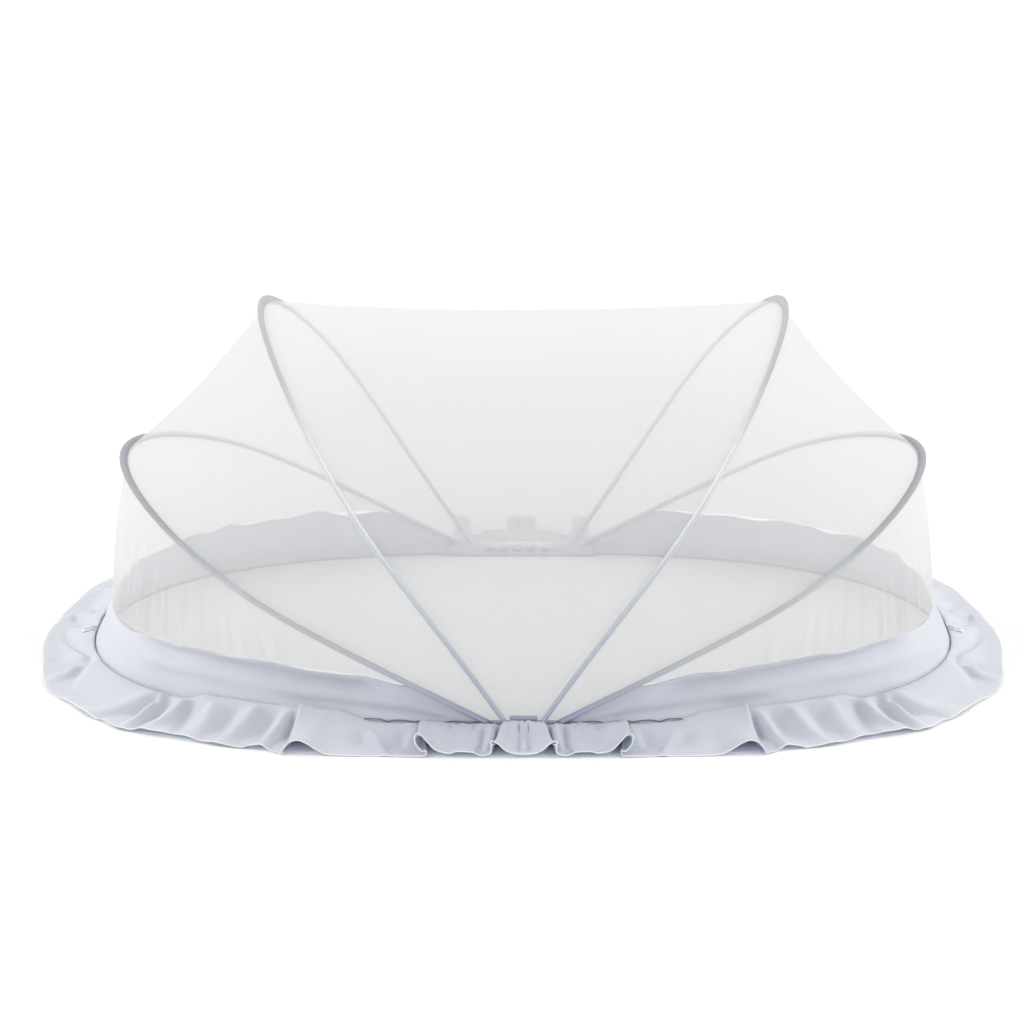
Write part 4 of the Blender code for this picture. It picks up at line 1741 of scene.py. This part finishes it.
@dataclass
class Threads:
    """The lines along which the net is sewn and gathered, their stitches, and dark rows of painted shadow."""

    fine: Stitching = Stitching(0.0032, 0.0048, 0.00032)
    # The front, back and foot rows are dark lines of painted shadow.
    front: Stitching = Stitching(0.0040, 0.0034, 0.0009)
    back: Stitching = Stitching(0.015, 0.021, 0.0016)
    foot: Stitching = Stitching(0.0052, 0.0048, 0.0007)
    seam_in: float = 0.0012
    seam_up: float = 0.0058
    seam_points: int = 1200
    back_y: float = 0.3093
    back_z: float = 0.0100
    back_wave: float = 0.0022
    back_half: float = 0.056
    front_span: tuple[float, float] = (0.032, 0.205)
    front_out: float = 0.0006
    front_up: float = 0.0026
    scallop: float = 0.035
    scallop_rise: float = 0.0034
    scallop_power: float = 0.6
    front_wave: float = 0.0012
    foot_span: tuple[float, float] = (0.27, 0.73)
    foot_in: float = 0.0017
    foot_up: float = 0.0006
    pocket_half: float = 0.114
    pocket_in: float = 0.0104
    fin_in: float = 0.0042
    fin_out: float = 0.00175
    fin_end: float = 0.06

    def beside_seam(self, s: float, out: float, z: float) -> Vector:
        """A place beside the seam, at a length along it, a distance outward and a height."""
        foot = SEAM.at(s)
        return foot + SEAM.outward(foot.x, foot.y) * out + Vector((0, 0, z))

    def seam_path(self) -> list[Vector]:
        """Just above the seam, on the band's outer face."""
        lengths = [SEAM.length * i / self.seam_points for i in range(self.seam_points + 1)]
        return [self.beside_seam(s, -self.seam_in, SEAM.z + self.seam_up) for s in lengths]

    def back_path(self) -> list[Vector]:
        """Across the back pocket's inner face, where the cloth is gathered on to it."""
        across = np.linspace(-self.back_half, self.back_half, 60)
        heights = [self.back_z + self.back_wave * ripple(x * 60, 0, 7.3) for x in across]
        return [Vector((x, self.back_y, z)) for x, z in zip(across, heights)]

    def front_path(self, side: Side) -> list[Vector]:
        """Along the scalloped top of the ruffle's front, from the fan to where it lies smooth.

        Args:
            side: The half of the net.

        Returns:
            The points of the line.
        """
        points = []
        for distance in np.linspace(*self.front_span, 160):
            scallop = abs(math.sin(math.pi * distance / self.scallop)) ** self.scallop_power
            rise = self.scallop_rise * scallop + self.front_wave * ripple(distance * 90, 0, 3.3)
            z = SEAM.z + self.front_up + rise
            points.append(self.beside_seam(side.value * distance, self.front_out, z))
        return points

    def foot_path(self) -> list[Vector]:
        """Along the foot of the band's inner face, round the back and both ends."""
        points = []
        for s in np.linspace(*(SEAM.length * share for share in self.foot_span), 700):
            inset = self.pocket_in if abs(SEAM.at(s).x) < self.pocket_half else self.foot_in
            points.append(self.beside_seam(s, -inset, self.foot_up))
        return points

    def fin_path(self, arch: Arch, side: Side) -> list[Vector]:
        """Along the fin of a sleeve, on its outboard face."""
        beside = arch.beside(side) * self.fin_out
        angles = np.linspace(self.fin_end, math.pi - self.fin_end, 300)
        return [arch.point(side, t) + arch.inward(side, t) * self.fin_in + beside for t in angles]

    def build(self, finishes: Finishes) -> None:
        """Makes every row of stitches, and the dark rows of painted shadow."""
        self.fine.row("seam_stitches", self.seam_path(), finishes.thread, Slot.BAND)
        # Painted shade: dark dashes across the back pocket, for the shade in its gathers.
        self.back.row("back_gather_shadows", self.back_path(), finishes.shade, Slot.BAND)
        for side in Side:
            # Painted shadow: a dark cord in the gap between the ruffle and the band.
            self.front.row(f"front_gathers_{side.word}", self.front_path(side), finishes.shade, Slot.BAND)
        # Painted shadow: a dark line where the band meets the floor.
        self.foot.row("foot_shadow_line", self.foot_path(), finishes.shade, Slot.BAND)
        for arch in (TALL, LOW):
            for side in Side:
                name = f"stitches_{arch.word}_{side.word}"
                self.fine.row(name, self.fin_path(arch, side), finishes.thread, Slot.BINDING)


@dataclass(frozen=True)
class FarLamp:
    """A wide lamp so far away that its light doesn't fall off, by where it stands as seen from the net."""

    name: str
    azimuth_deg: float
    height_deg: float
    strength: float
    tint: Colour
    spread_deg: float = 50

    def hang(self) -> None:
        """Puts the lamp up."""
        light = bpy.data.lights.new(self.name, "SUN")
        light.angle = math.radians(self.spread_deg)
        light.energy = self.strength
        light.color = self.tint
        azimuth, height = math.radians(self.azimuth_deg), math.radians(self.height_deg)
        level = math.cos(height)
        away = Vector((math.sin(azimuth) * level, math.cos(azimuth) * level, math.sin(height)))
        lamp = bpy.data.objects.new(self.name, light)
        lamp.location = away * 4
        lamp.rotation_euler = away.to_track_quat("Z", "Y").to_euler()
        bpy.context.scene.collection.objects.link(lamp)


@dataclass
class Studio:
    """The pale floor, the soft light and the camera."""

    floor_half: float = 40.0
    sky: Colour = (0.93, 0.965, 1.0)
    sky_strength: float = 0.63
    lens: float = 75.77
    camera_at: tuple[float, float, float] = (-0.0149, -2.8077, 1.2468)
    tilt: float = 0.36

    def build(self) -> None:
        """Sets the studio up."""
        scene = bpy.context.scene
        scene.view_settings.view_transform = "Standard"
        floor = wrapped(
            "studio_floor",
            4,
            4,
            lambda u, v: Vector(((2 * u - 1) * self.floor_half, (2 * v - 1) * self.floor_half, 0)),
            (1, 1),
            PaleFloor().make(),
        )
        self.light()
        camera = bpy.data.cameras.new("Camera")
        camera.lens = self.lens
        camera.sensor_width = 36.0
        eye = bpy.data.objects.new("Camera", camera)
        eye.location = self.camera_at
        eye.rotation_euler = (math.pi / 2 - self.tilt, 0, 0)
        scene.collection.objects.link(eye)
        scene.camera = eye

    def light(self) -> None:
        """Lights the two ends from the sides, and the whole from above and behind."""
        world = bpy.data.worlds.new("Studio")
        world.use_nodes = True
        back = world.node_tree.nodes["Background"]
        back.inputs["Color"].default_value = (*self.sky, 1)
        back.inputs["Strength"].default_value = self.sky_strength
        bpy.context.scene.world = world
        lamps = [
            FarLamp("Left end lamp", -89, 35, 2.2, (1, 0.96, 0.89)),
            FarLamp("Right end lamp", 89, 35, 2.2, (1, 0.96, 0.89)),
            FarLamp("Back lamp", 0, 52, 0.55, (1, 1, 1)),
        ]
        for lamp in lamps:
            lamp.hang()


def main() -> None:
    """Builds the studio and the net, piece by piece."""
    logging.basicConfig(level=logging.INFO, format="%(message)s")
    Studio().build()
    finishes = Finishes.mixed()
    NetPanels().build(finishes)
    sleeves, loop = Sleeves(), TapeLoop()
    for side in Side:
        BAND.build(side, finishes)
        for arch in (TALL, LOW):
            sleeves.build(arch, side, finishes)
        loop.build(side, finishes)
    HubPocket("front", -0.3145, 0.056, web_half=0.0175, web_z=0.028).build(finishes)
    HubPocket("back", 0.3145, 0.112, top_z=0.0165).build(finishes)
    Ruffle().build(finishes)
    Threads().build(finishes)


if __name__ == "__main__":
    main()
